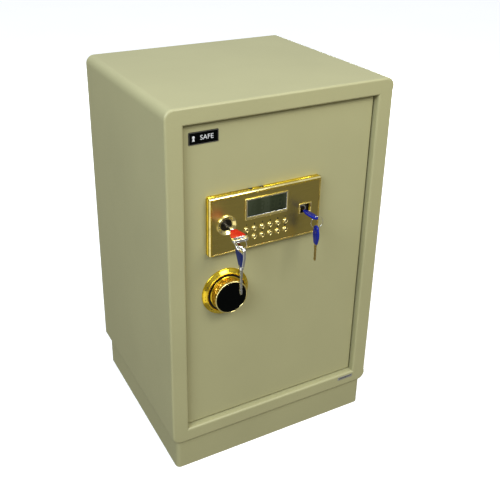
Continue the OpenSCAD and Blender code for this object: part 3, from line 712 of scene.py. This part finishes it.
def keypad():
    """Twelve pushing caps with raised signs, their fixed collars, and a legend above each."""
    sign_out, legend_out, legend_rise = 2.42, 0.04, 7.7
    # radius, distance out of the fascia
    cap = [(0, -3.2), (5.2, -3.2), (5.2, -2.2), (4.45, -2.2), (4.45, 0.9), (4.36, 1.35), (4.1, 1.65),
           (3.75, 1.72), (3.5, 1.55), (3.35, 1.3), (3.15, 1.3), (2.95, 1.55), (2.5, 1.95), (1.9, 2.25),
           (1.1, 2.45), (0, 2.52)]
    collar = [(4.75, -0.4), (4.75, 0.55), (4.95, 0.85), (5.25, 0.85), (5.5, 0.5), (5.6, 0.0), (5.6, -0.2)]
    collars, legends = [], []
    for i, sign in enumerate(SIGNS, 1):
        at = centre(f"button_{i}")
        base = (at.x, fascia_y, at.z)
        body = f"push_button_{i}"
        o = lathe(f"key_cap_{i}", base, cap, "pale_gold", body, "button", 48, sharp=32)
        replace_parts(o, f"button_{i}")
        on_cap = front(at.x, fascia_y - sign_out * MM, at.z)
        digit(f"key_sign_{i}", sign, 4.3, 0.5, on_cap, "ink", body, "button", bold=0.14)
        collars.append(lathe(f"collar_{i}", base, collar, "pale_gold", "door", "gold", 40))
        above = front(at.x, fascia_y - legend_out * MM, at.z + legend_rise * MM)
        legends.append(digit(f"legend_{i}", sign, 3.4, 0.12, above, "ink", "door", "black_gloss", bold=0.3))
    join("button_collars", collars)
    join("button_legends", legends)


def escutcheon():
    """Turned rose round the main lock."""
    base = (lock_at.x, fascia_y, lock_at.z)
    # radius, distance out of the fascia
    profile = [(10.6, -2.4), (10.6, -0.9), (10.9, -0.55), (11.4, -0.5), (12.2, 0.1), (13.4, 1.0),
               (14.6, 2.0), (15.5, 2.8), (16.1, 3.2), (16.7, 3.38), (17.3, 3.2), (17.75, 2.6), (17.95, 1.8),
               (18.0, 1.0), (17.7, 0.55), (18.0, 0.3), (18.0, 0.0), (15.0, 0.0), (15.0, -2.4)]
    o = lathe("key_rose", base, profile, "pale_gold", "door", "gold", 144, sharp=50)
    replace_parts(o, "key_escutcheon")


def emergency_window():
    """Gold frame round a dark well, with a slab at the well's right and the lock's hole in its floor."""
    outer = edges("emergency_bezel")
    side, rise = 2.6, 2.2
    inner = (outer[0] + side, outer[1] - side, outer[2] + rise, outer[3] - rise)
    mid_x, mid_z = (inner[0] + inner[1]) / 2, (inner[2] + inner[3]) / 2
    # share of the way in from the outer edge to the well, distance out of the fascia
    profile = [(0, 0.0), (0, 1.0), (0.12, 1.45), (0.35, 1.6), (0.65, 1.55), (0.9, 1.2), (1.0, 0.6),
               (1.0, -2.0)]
    loops = [(FASCIA - o, box_loop(between(outer, inner, t), 0.9 - 0.6 * t)) for t, o in profile]
    o = loft("emergency_frame", loops, "pale_gold", "door", "gold", closed=True, sharp=50)
    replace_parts(o, "emergency_bezel")
    slab_w = 1.8
    slab = (inner[1] - slab_w, inner[1], inner[2], inner[3])
    steps = ((3.0, 0.0), (0.4, 0.0), (0.15, 0.25))
    loops = [(FASCIA + depth, box_loop(grown(slab, -u), 0.3)) for depth, u in steps]
    loft("emergency_slab", loops, "gold", "door", "gold")
    overlap, hole_r, floor_depth = 2.4, 7.3, 5.4
    plate = [loop(0, 0, inner[1] - inner[0] + overlap, inner[3] - inner[2] + overlap, 0.4, 2),
             arc(small_at.x / MM - mid_x, small_at.z / MM - mid_z, hole_r, 0, 350, 34)]
    at = front(mid_x * MM, (FASCIA + floor_depth) * MM, mid_z * MM)
    flat("emergency_well_back", plate, 0.8, 0.1, at, "black", "door", "black_plastic", corner=1)
    wall = [(0.0, 2.1), (1.1, 2.1), (1.1, 5.2), (0.0, 5.2)]
    loops = [(FASCIA + depth, box_loop(grown(inner, u), 0.3)) for u, depth in wall]
    loft("emergency_well", loops, "black", "door", "black_plastic", closed=True)


# ---- knob ----

# In mm: the dial ring, the grip (which stands out round its black cap), and the knob's reach
DIAL_R = size("knob_base").x / 2 / MM
GRIP_R = size("knob_face").x / 2 / MM + 2.5
PROUD = (face_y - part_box("knob")[0].y) / MM
dial_base = (knob_at.x, face_y, knob_at.z)

# The dial's sloping face: distance in from the edge and out of the door, at its foot and its top
FOOT_IN, FOOT_OUT = 1.9, 3.1
TOP_IN, TOP_OUT = 6.2, 6.5
DIAL_SLOPE = (TOP_OUT - FOOT_OUT) / (TOP_IN - FOOT_IN)


def dial_ring():
    """Fixed ring with a sloping scale and a knurled shoulder, and the well inside it, whose floor is
    painted black as painted shade.
    """
    r = DIAL_R
    profile = [(8.0, 0.0), (r, 0.0), (r, 1.3), (r - 0.12, 1.9), (r - 0.5, 2.35), (r - 1.1, 2.65),
               (r - 1.5, 2.75), (r - FOOT_IN, FOOT_OUT), (r - 3.4, 4.25), (r - 4.9, 5.45),
               (r - TOP_IN, TOP_OUT), (r - 6.6, 6.75), (r - 6.9, 7.2), (r - 7.5, 7.45), (r - 8.1, 7.45),
               (r - 8.7, 7.2), (r - 9.2, 6.6), (r - 9.4, 5.8), (r - 9.4, 4.2), (8.0, 4.2)]

    def knurl(radius, out, a):
        if r - 8.8 < radius < r - 6.7 and out > 6.9:
            out += 0.22 * math.sin(a * 120)
        return radius, out

    o = lathe("dial_ring", dial_base, profile, "gold", "door", "gold", 720, knurl, 40)
    # black disc on the well's floor: painted shade in the narrow recess round the knob
    well = [(9.0, 4.0), (r - 9.5, 4.0), (r - 9.5, 4.45), (9.0, 4.45)]
    lathe("dial_well_painted_shade", dial_base, well, "ink", "door", "black_plastic", 96)
    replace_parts(o, "knob_base")
    dial_marks()
    dial_numbers()


def on_slope(radius, lift, a):
    """Point on the dial's sloping face, lift mm above it."""
    out = FOOT_OUT + (DIAL_R - FOOT_IN - radius) * DIAL_SLOPE
    normal = Vector((DIAL_SLOPE, 1.0)).normalized()
    r, o = (radius + normal.x * lift) * MM, (out + normal.y * lift) * MM
    return Vector((dial_base[0] + r * math.cos(a), dial_base[1] - o, dial_base[2] + r * math.sin(a)))


def dial_marks():
    """A hundred strokes on the slope, longer at the fives and the tens."""
    verts, faces = [], []
    count = 100
    inner = DIAL_R - 6.1
    for k in range(count):
        a = TAU / 4 - TAU * k / count
        long = 3.6 if k % 10 == 0 else 2.4 if k % 5 == 0 else 1.5
        half = 0.22 if k % 5 == 0 else 0.15
        s = len(verts)
        for lift in (-0.1, 0.16):
            for radius, side in ((inner, -1), (inner, 1), (inner + long, 1), (inner + long, -1)):
                verts.append(on_slope(radius, lift, a + side * half / radius))
        faces += [(s, s + 1, s + 2, s + 3), (s + 4, s + 5, s + 6, s + 7)]
        faces += [(s + j, s + (j + 1) % 4, s + 4 + (j + 1) % 4, s + 4 + j) for j in range(4)]
    piece("dial_marks", verts, faces, "ink", "door", "gold", smooth=False)


def dial_numbers():
    numbers = []
    for k in range(10):
        a = TAU / 4 - TAU * k / 10 - TAU / 40
        turn = Matrix.Rotation(a - TAU / 4, 4, "Z") @ Matrix.Rotation(-math.atan(DIAL_SLOPE), 4, "X")
        at = move(on_slope(DIAL_R - 4.2, 0.05, a)) @ FRONT @ turn
        numbers.append(digit(f"dial_number_{k}", str(k * 10), 2.1, 0.16, at, "ink", "door", "gold"))
    join("dial_numbers", numbers)


def scroll(radius, out, a):
    """Cast relief of leaves and beads round the grip."""
    low, high, leaves = 9.6, 21.4, 14
    if not low < out < high:
        return radius, out
    v = (out - low) / (high - low)
    fade = math.sin(math.pi * v) ** 0.6
    u = a * leaves / TAU
    leaf = math.cos(TAU * (u + 0.28 * math.sin(TAU * v)))
    vein = math.cos(TAU * (3 * u - 0.55 * v))
    bead = math.cos(TAU * 4 * u) * math.exp(-((v - 0.12) / 0.07) ** 2)
    curl = math.sin(TAU * (u * 2 + 1.7 * v)) * math.sin(TAU * 2 * v)
    relief = 0.62 * max(leaf, -0.25) + 0.26 * vein + 0.34 * curl
    return radius + fade * relief * 0.95 + 0.35 * max(0.0, bead), out


def knob():
    """Beaded skirt, cast grip, rope-edged rim and black cap, which turn together."""
    r = GRIP_R
    # radius, distance out of the door
    skirt = [(0, 5.0), (r - 1.2, 5.0), (r - 0.2, 5.6), (r + 0.9, 6.2), (r + 1.1, 6.9), (r + 1.1, 7.7),
             (r + 0.9, 8.3), (r + 0.3, 8.8), (r - 0.4, 9.1), (r - 1.5, 9.4), (0, 9.4)]

    def bead_edge(radius, out, a):
        if radius > r + 0.95:
            radius -= 0.14 * (1 + math.sin(a * 90))
        return radius, out

    lathe("knob_skirt", dial_base, skirt, "gold", "turning_knob", "gold", 720, bead_edge, 40)
    foot, top, rows = 9.4, 21.8, 34
    grip = [(0, 9.2), (r - 2.0, 9.2)]
    for k in range(rows + 1):
        grip.append((r - 0.9 - 1.9 * (k / rows) ** 0.8, foot + (top - foot) * k / rows))
    grip += [(r - 2.9, 22.2), (0, 22.2)]
    o = lathe("knob_grip", dial_base, grip, "amber", "turning_knob", "gold", 560, scroll, 75)
    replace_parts(o, "knob")
    bulge_r, bulge_h = 1.4, 1.8
    mid = PROUD - bulge_h
    rim = [(r - 3.4, mid - bulge_h), (r - 1.6, mid - bulge_h)]
    for degrees in range(-80, 91, 10):
        a = math.radians(degrees)
        rim.append((r - bulge_r + bulge_r * math.cos(a), mid + bulge_h * math.sin(a)))
    rim += [(r - 2.0, PROUD - 0.1), (r - 2.35, PROUD - 0.5), (r - 2.35, PROUD - 1.3),
            (r - 3.4, PROUD - 1.3)]

    def rope(radius, out, a):
        if radius > r - 1.2:
            radius += 0.2 * math.sin(a * 84 + (out - mid) * 1.6) - 0.2
        return radius, out

    lathe("knob_rim", dial_base, rim, "pale_gold", "turning_knob", "gold", 672, rope, 60)
    face = [(0, PROUD - 1.25), (r - 2.45, PROUD - 1.25), (r - 2.45, PROUD - 0.75), (r - 2.7, PROUD - 0.5),
            (r - 3.3, PROUD - 0.36), (r * 0.6, PROUD - 0.24), (r * 0.3, PROUD - 0.2), (0, PROUD - 0.18)]
    o = lathe("knob_cap", dial_base, face, "black_gloss", "turning_knob", "black_gloss", 128, sharp=40)
    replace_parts(o, "knob_face")


# ---- keys ----

# Main key, in mm: its bow leans to the left, with a bar behind the ring's slot
BOW_LEN, BOW_T, LEAN = 38.0, 5.0, -3.5
BAR_DEPTH, SLOT_W, SLOT_H = 4.0, 20.0, 5.6
SHANK_LEN, SHANK_W, SHANK_T = 51.0, 7.0, 3.0
SHANK_TIP = SHANK_LEN - 1.0
FIELD_STOP = 2.1
RING_TURN, RING_WIRE = 50.8, 0.8

# Emergency key, in mm, and its turn in the lock and its ring's and spare's turns in degrees
SMALL_BOW, SMALL_T, SMALL_BLADE = 35.0, 4.5, 33.0
SMALL_SLOT_W, SMALL_SLOT_H, SMALL_SLOT_IN = 9.6, 4.8, 4.8
SMALL_TILT, SMALL_RING_TURN, SMALL_SPARE_TURN, SMALL_WIRE = 20, 8.5, 82, 0.7


def circle(x, y, r, steps=40):
    """Points round a full circle, the first not repeated."""
    return arc(x, y, r, 0, 360 - 360 / steps, steps - 1)


def bow_outline(inset=0.0):
    """Main key's bow: broad and leaning at the ring's end, narrow at the collar."""
    points = circle(0, -7.5 - inset / 2, 7.3 - inset)
    for s in (-1, 1):
        points += circle(0.7 * LEAN + s * 8.2, -21, 4.5 - inset)
        points += circle(LEAN + s * 8.5, -BOW_LEN + 5.5, 5.5 - inset)
    return hull(points)


def trimmed(ring, limit, side):
    """The part of an outline above (side 1) or below (side -1) a level line."""
    points = []
    for p, q in zip(ring, ring[1:] + ring[:1]):
        if (p[1] - limit) * side > 0:
            points.append(p)
        if (p[1] - limit) * (q[1] - limit) < 0:
            t = (limit - p[1]) / (q[1] - p[1])
            points.append((p[0] + t * (q[0] - p[0]), limit))
    return points


def field_outline(inset):
    """The bow's outline between its slot and the collar."""
    slot_end = -BOW_LEN + BAR_DEPTH + SLOT_H
    return trimmed(trimmed(bow_outline(inset), slot_end + inset, 1), -FIELD_STOP, -1)


def shank_outline():
    """Round-nosed shank with the same row of notches down both sides."""
    w, tip = SHANK_W / 2, SHANK_TIP
    side = -w + 0.5
    left = [(side, 3.6)]
    for y, d in ((14, 0.9), (19, 1.6), (24, 0.7), (29, 1.4), (34, 1.0), (39, 1.7)):
        left += [(side, y - d - 0.6), (side + d, y - 0.5), (side + d, y + 0.5), (side, y + d + 0.6)]
    left += [(side, tip - 3)]
    nose = [(-w + 0.9, tip - 1.6), (-w + 1.9, tip - 0.4), (0, tip), (w - 1.9, tip - 0.4),
            (w - 0.9, tip - 1.6)]
    right = [(-x, y) for x, y in reversed(left)]
    outline = [(-w, -4), (-w, 3)] + left + nose + right + [(w, 3), (w, -4)]
    return outline[::-1]


def main_key_set(prefix, matrix, body, inlay_look, inlay_slot, node, inlay_node):
    """Key with its ring's slot, enamelled fields on both faces, a turned collar and a ridged shank."""
    chrome = ("chrome", body, "chrome")
    slot = loop(LEAN, -BOW_LEN + BAR_DEPTH + SLOT_H / 2, SLOT_W, SLOT_H, 1.6, 5)
    bow = flat(prefix + "_bow", [bow_outline(), slot], BOW_T - 0.1, 0.7, matrix, *chrome, 5, 50)
    fields = []
    for k, s in enumerate((1, -1)):
        at = matrix @ move((0, 0, s * (BOW_T / 2 - 0.1) * MM))
        fields.append(flat(f"{prefix}_field_{k}", [field_outline(0.55)], 0.56, 0.26, at, inlay_look, body,
                           inlay_slot, 3, 50))
    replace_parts(join(prefix + "_inlay", fields), inlay_node)
    outlines = [shank_outline(), circle(0, SHANK_TIP - 3.6, 1.05, 14), circle(0, SHANK_TIP - 8.2, 0.85, 14)]
    shank = flat(prefix + "_shank", outlines, SHANK_T, 0.35, matrix, "worn_chrome", body, "chrome", 2, 50)
    ridge = loop(0, (SHANK_TIP - 4) / 2, 1.3, SHANK_TIP - 20, 0.6, 3)
    ridges = []
    for k, s in enumerate((1, -1)):
        at = matrix @ move((0, 0, s * SHANK_T / 2 * MM))
        ridges.append(flat(f"{prefix}_ridge_{k}", [ridge], 0.5, 0.2, at, *chrome, 2, 50))
    # radius, distance towards the shank
    profile = [(0, -1.5), (3.6, -1.5), (4.1, -1.0), (4.2, -0.4), (4.2, 2.0), (4.05, 2.4), (3.4, 2.6),
               (3.4, 3.6), (3.0, 4.0), (0, 4.0)]
    collar = lathe(prefix + "_collar", (0, 0, 0), [(r, -along) for r, along in profile], *chrome, 40)
    collar.data.transform(matrix)
    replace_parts(join(prefix, [bow, shank, collar] + ridges), node)


def split_ring(name, node, turn, body, width):
    """Nearly two turns of spring wire lying side by side, with blunt ends."""
    at = centre(node)
    r = size(node).z / 2 / MM - width
    thin = width * 0.52
    turns, steps, start = 1.92, 132, math.radians(-50)
    c, s = math.cos(math.radians(turn)), math.sin(math.radians(turn))
    along, up, normal = Vector((c, -s, 0)), Vector((0, 0, 1)), Vector((s, c, 0))
    points = []
    for k in range(steps + 1):
        a = TAU * turns * k / steps + start
        shift = (2 * k / steps - 1) * (width - thin)
        points.append(at + (along * math.cos(a) + up * math.sin(a)) * r * MM + normal * shift * MM)
    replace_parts(wire(name, points, thin, "chrome", body, "chrome"), node)


def small_outline(inset=0.0):
    """Moulded bow: round at the ring's slot, broad in the middle, blunt at the blade."""
    points = circle(0, -SMALL_BOW + 7, 7 - inset)
    for s in (-1, 1):
        for y in (0.4, 0.6):
            points += circle(s * 5.5, -y * SMALL_BOW, 4 - inset, 28)
        points += circle(s * 3.6, -2 - inset, max(0.3, 2 - inset), 20)
    return hull(points)


def blade_outline():
    """Flat blade with notches down one side."""
    w, tip = 3.3, SMALL_BLADE - 0.6
    side = w - 0.1
    left = [(-w, -3.0), (-w, tip - 2.4), (-w + 1.0, tip - 0.6), (-w + 2.2, tip)]
    right = [(w - 1.6, tip - 0.3), (w - 0.6, tip - 1.6)]
    for y, d in ((tip - 4, 1.1), (tip - 8, 1.7), (tip - 12, 0.8), (tip - 16, 1.4), (tip - 20, 0.9)):
        right += [(side, y + d + 0.5), (side - d, y + 0.4), (side - d, y - 0.4), (side, y - d - 0.5)]
    right += [(w, 3.0), (w, -3.0)]
    return (left + right)[::-1]


def small_key_set(prefix, matrix, body, node):
    """Moulded bow with raised, ribbed pads on both faces, and a grooved brass blade."""
    blue = ("blue", body, "blue_plastic")
    slot = loop(0, -SMALL_BOW + SMALL_SLOT_IN, SMALL_SLOT_W, SMALL_SLOT_H, 2.2, 6)
    bow = flat(prefix + "_bow", [small_outline(), slot], SMALL_T - 0.5, 1.3, matrix, *blue, 5, 55)
    pad = hull([(x, y) for x, y in small_outline(2.2) if y > -26.0])
    pads = []
    for k, s in enumerate((1, -1)):
        at = matrix @ move((0, 0, s * (SMALL_T / 2 - 0.25) * MM))
        pads.append(flat(f"{prefix}_pad_{k}", [pad], 0.5, 0.22, at, *blue, 3, 55))
        for j in range(4):
            rib = loop(0, -9.5 - 3.2 * j, 8.0 - 0.4 * abs(j - 1.5), 0.9, 0.4, 3)
            pads.append(flat(f"{prefix}_rib_{k}_{j}", [rib], 0.5, 0.2, at, *blue, 2, 55))
    o = join(prefix, [bow] + pads)
    flat(prefix + "_blade", [blade_outline()], 1.7, 0.18, matrix, "brass", body, "chrome", 2, 50)
    groove = loop(-0.8, SMALL_BLADE / 2 - 1, 0.9, SMALL_BLADE - 7, 0.4, 3)
    grooves = []
    for k, s in enumerate((1, -1)):
        at = matrix @ move((0, 0, s * 0.86 * MM))
        grooves.append(flat(f"{prefix}_groove_{k}", [groove], 0.2, 0.08, at, "dark_steel", body, "chrome",
                            1))
    join(prefix + "_grooves", grooves)
    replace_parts(o, node)


def keys():
    """Each key's origin is where its shank or blade begins; a spare hangs with its point down."""
    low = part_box("main_key")[0]
    root = move((lock_at.x, low.y + BOW_LEN * MM, lock_at.z))
    main_key_set("user_key_main", root, "user_key", "red", "red_inlay", "main_key", "main_key_inlay")
    mid, high = centre("spare_key"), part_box("spare_key")[1]
    hang = move((mid.x, mid.y + LEAN * MM, high.z - BOW_LEN * MM)) @ spin("Z", -90) @ spin("X", -90)
    main_key_set("user_key_spare", hang, "user_spare", "navy", "blue_inlay", "spare_key", "spare_key_inlay")
    split_ring("user_ring", "main_key_ring", RING_TURN, "user_key_ring", RING_WIRE)
    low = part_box("emergency_key")[0]
    root = move((small_at.x, low.y + SMALL_BOW * MM, small_at.z)) @ spin("Y", SMALL_TILT)
    small_key_set("override_key_main", root, "override_key", "emergency_key")
    ring, high = centre("emergency_key_ring"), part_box("emergency_spare_key")[1]
    hang = move((ring.x, ring.y, high.z - SMALL_BOW * MM)) @ spin("Z", SMALL_SPARE_TURN) @ spin("X", -90)
    small_key_set("override_key_spare", hang, "override_spare", "emergency_spare_key")
    split_ring("override_ring_wire", "emergency_key_ring", SMALL_RING_TURN, "override_ring", SMALL_WIRE)


# ---- small parts on the front ----


def name_plate():
    """Black badge with a bright line round it, a generic word and a keyhole mark."""
    box, at = edges("name_plate"), centre("name_plate")
    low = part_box("name_plate")[0].y / MM
    # distance behind the badge's face, distance in from its edge, corner radius
    steps = ((FACE - low, 0.0, 1.5), (0.3, 0.0, 1.5), (0.08, 0.2, 1.3), (0.0, 0.5, 1.0))
    loops = [(low + d, box_loop(grown(box, -u), r)) for d, u, r in steps]
    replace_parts(loft("name_badge", loops, "black_gloss", "door", "black_gloss"), "name_plate")
    trim = [(0.7, 0.04), (0.7, -0.06), (1.15, -0.06), (1.15, 0.04)]
    loops = [(low + d, box_loop(grown(box, -u), max(0.3, 1.2 - u))) for u, d in trim]
    loft("badge_line", loops, "chrome", "door", "chrome", closed=True)
    printed = (low - 0.02) * MM
    word_at, mark_at = front(at.x + 5.4 * MM, printed, at.z), front(at.x - 17.5 * MM, printed, at.z)
    digit("badge_word", "SAFE", 8.4, 0.07, word_at, "white", "door", "label")
    keyhole = [circle(0, 2.0, 2.3, 28), [(-1.0, 0.6), (1.0, 0.6), (2.2, -4.6), (-2.2, -4.6)]]
    marks = []
    for k, shape in enumerate(keyhole):
        marks.append(flat(f"badge_mark_{k}", [shape], 0.07, 0.02, mark_at, "white", "door", "label", 1))
    join("badge_mark", marks)


def foil_label():
    """Foil sticker with three dark bars, the last one short, where fine print would be."""
    box = edges("inspection_label")
    low, high = (v.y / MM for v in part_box("inspection_label"))
    loops = [(high, box_loop(box, 0.8)), (low + 0.05, box_loop(box, 0.8)),
             (low, box_loop(grown(box, -0.06), 0.7))]
    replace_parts(loft("silver_label", loops, "foil", "cabinet", "label"), "inspection_label")
    bars = []
    for k, short in enumerate((0, 0, 9)):
        z = box[3] - 1.7 - 1.75 * k
        rect = box_loop((box[0] + 1.6, box[1] - 1.6 - short, z - 0.3, z + 0.3), 0.1)
        loops = [(low + 0.02, rect), (low - 0.02, rect)]
        bars.append(loft(f"label_bar_{k}", loops, "dark_steel", "cabinet", "label"))
    join("label_bars", bars)


def screw_spots():
    """Centres of the CAD screws on the cover, as (x, z), from the points of their inner ends."""
    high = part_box("pan_screws")[1].y
    groups = []
    for v in frame["nodes"]["pan_screws"].data.vertices:
        if abs(v.co.y - high) < 1e-5:
            spot = Vector((v.co.x, v.co.z))
            near = [g for g in groups if (spot - g[0] / g[1]).length < 5 * MM]
            if near:
                near[0][0] += spot
                near[0][1] += 1
            else:
                groups.append([spot, 1])
    return [total / count for total, count in groups]


def pan_screws():
    """Cross-head screws round the cover."""
    head_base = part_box("door_pan")[0].y + 1.5 * MM

    def cross(radius, out, a):
        if radius < 2.0 and out < -0.5:
            turn = a % (TAU / 4)
            if min(turn, TAU / 4 - turn) * max(radius, 0.3) < 0.42:
                out += 0.8 * (1 - radius / 2.4)
        return radius, out

    # radius, distance out of the front, so heads that face the inside are negative
    profile = [(0, 0.2), (3.4, 0.2), (3.4, -0.7), (3.2, -1.1), (2.8, -1.45), (2.3, -1.7), (1.9, -1.82),
               (1.5, -1.88), (1.1, -1.92), (0.7, -1.94), (0.35, -1.95), (0, -1.55)]
    heads = []
    for k, (x, z) in enumerate(screw_spots()):
        heads.append(lathe(f"screw_{k}", (x, head_base, z), profile, "steel", "door", "steel", 48, cross,
                           30))
    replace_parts(join("pan_screw_heads", heads), "pan_screws")


panel_frame()
display()
keypad()
escutcheon()
emergency_window()
dial_ring()
knob()
keys()
name_plate()
foil_label()
pan_screws()

# ---- floor, light and camera ----


def floor_and_backdrop():
    """Wide pale floor that curves up into a backdrop far behind the lights."""
    s = Shader("studio_floor")
    base = s.ramp(s.noise(2.0, 2.0), [(0.3, (0.90, 0.90, 0.90)), (0.7, (0.92, 0.92, 0.92))])
    s.set(Base_Color=base, Roughness=0.6, Emission_Color=(1, 1, 1, 1), Emission_Strength=0.40)
    steps, far, bend, top = 96, 9.0, 3.0, 12.0
    curve = [(far + bend * math.sin(math.radians(a)), bend * (1 - math.cos(math.radians(a))))
             for a in range(0, 91, 10)] + [(far + bend, top)]
    verts = [(r * math.cos(TAU * k / steps), r * math.sin(TAU * k / steps), z)
             for r, z in curve for k in range(steps)]
    rings = [tuple(range(steps))]
    walls = []
    for start in range(0, steps * (len(curve) - 1), steps):
        for k in range(steps):
            k2 = (k + 1) % steps
            walls.append((start + k, start + k2, start + steps + k2, start + steps + k))
    for name, faces in (("floor", rings), ("backdrop", walls)):
        mesh = bpy.data.meshes.new(name)
        mesh.from_pydata(verts, [], faces)
        bm = bmesh.new()
        bm.from_mesh(mesh)
        bmesh.ops.delete(bm, geom=[v for v in bm.verts if not v.link_faces], context="VERTS")
        for f in bm.faces:
            f.smooth = True
        bm.to_mesh(mesh)
        bm.free()
        mesh.materials.append(s.mat)
        o = add(name, mesh)
        o.location = (0, 0, cad_low.z - 0.0005)
        o.visible_diffuse = False
        o.visible_glossy = False
        o.visible_shadow = name == "floor"


def softbox(name, at, aim, width, height, power, colour):
    """Rectangular area light, aimed at a point; power in watts."""
    light = bpy.data.lights.new(name, "AREA")
    light.shape = "RECTANGLE"
    light.size, light.size_y = width, height
    light.energy = power
    light.color = colour
    o = add(name, light)
    o.location = at
    o.rotation_euler = (Vector(aim) - Vector(at)).to_track_quat("-Z", "Y").to_euler()
    return o


def studio():
    """Pale world that brightens upwards, four lights, and a card seen only in reflections."""
    world = bpy.data.worlds.new("studio")
    world.use_nodes = True
    tree = world.node_tree
    way = tree.nodes.new("ShaderNodeTexCoord")
    split = tree.nodes.new("ShaderNodeSeparateXYZ")
    sky = tree.nodes.new("ShaderNodeValToRGB")
    tree.links.new(way.outputs["Generated"], split.inputs[0])
    tree.links.new(split.outputs["Z"], sky.inputs["Fac"])
    tree.links.new(sky.outputs["Color"], tree.nodes["Background"].inputs["Color"])
    fill_ramp(sky, [(0.0, (0.25, 0.24, 0.205)), (0.25, (0.34, 0.33, 0.30)), (0.6, (0.60, 0.62, 0.63)),
                    (1.0, (0.74, 0.80, 0.98))])
    tree.nodes["Background"].inputs["Strength"].default_value = 1.0
    bpy.context.scene.world = world
    softbox("key", (0.55, -1.9, 2.2), (0, -0.1, 0.6), 1.1, 0.9, 36, (1.0, 0.98, 0.91))
    softbox("top", (-0.3, 0.0, 2.7), (0, 0, 0.5), 2.0, 1.6, 6, (0.84, 0.91, 1.0))
    softbox("left", (-1.9, -1.2, 2.0), (0, 0, 0.6), 1.2, 1.2, 50, (0.80, 0.88, 1.0))
    softbox("behind", (1.6, 2.2, 0.4), (0.1, 0, 0.38), 1.8, 0.56, 30, (0.97, 0.98, 1.0))
    card = softbox("low_card", (-1.15, -1.1, -0.5), (-0.1, -0.2, 0.36), 1.2, 1.2, 3.6, (1.0, 0.97, 0.88))
    card.visible_diffuse = False
    card.visible_camera = False
    bpy.context.scene.view_settings.view_transform = "Standard"
    bpy.context.scene.view_settings.look = "None"


def camera():
    """Seen from the front left and above, with the frame shifted as the view needs."""
    data = bpy.data.cameras.new("camera")
    data.sensor_width = 36.0
    data.lens = 51.716
    data.shift_x = 0.0488
    data.shift_y = -0.1207
    data.clip_start, data.clip_end = 0.05, 60
    o = add("camera", data)
    o.location = (-0.597198, -1.121438, 1.026006)
    o.rotation_euler = [math.radians(a) for a in (65.795986, -0.379045, -27.327102)]
    bpy.context.scene.camera = o


floor_and_backdrop()
studio()
camera()
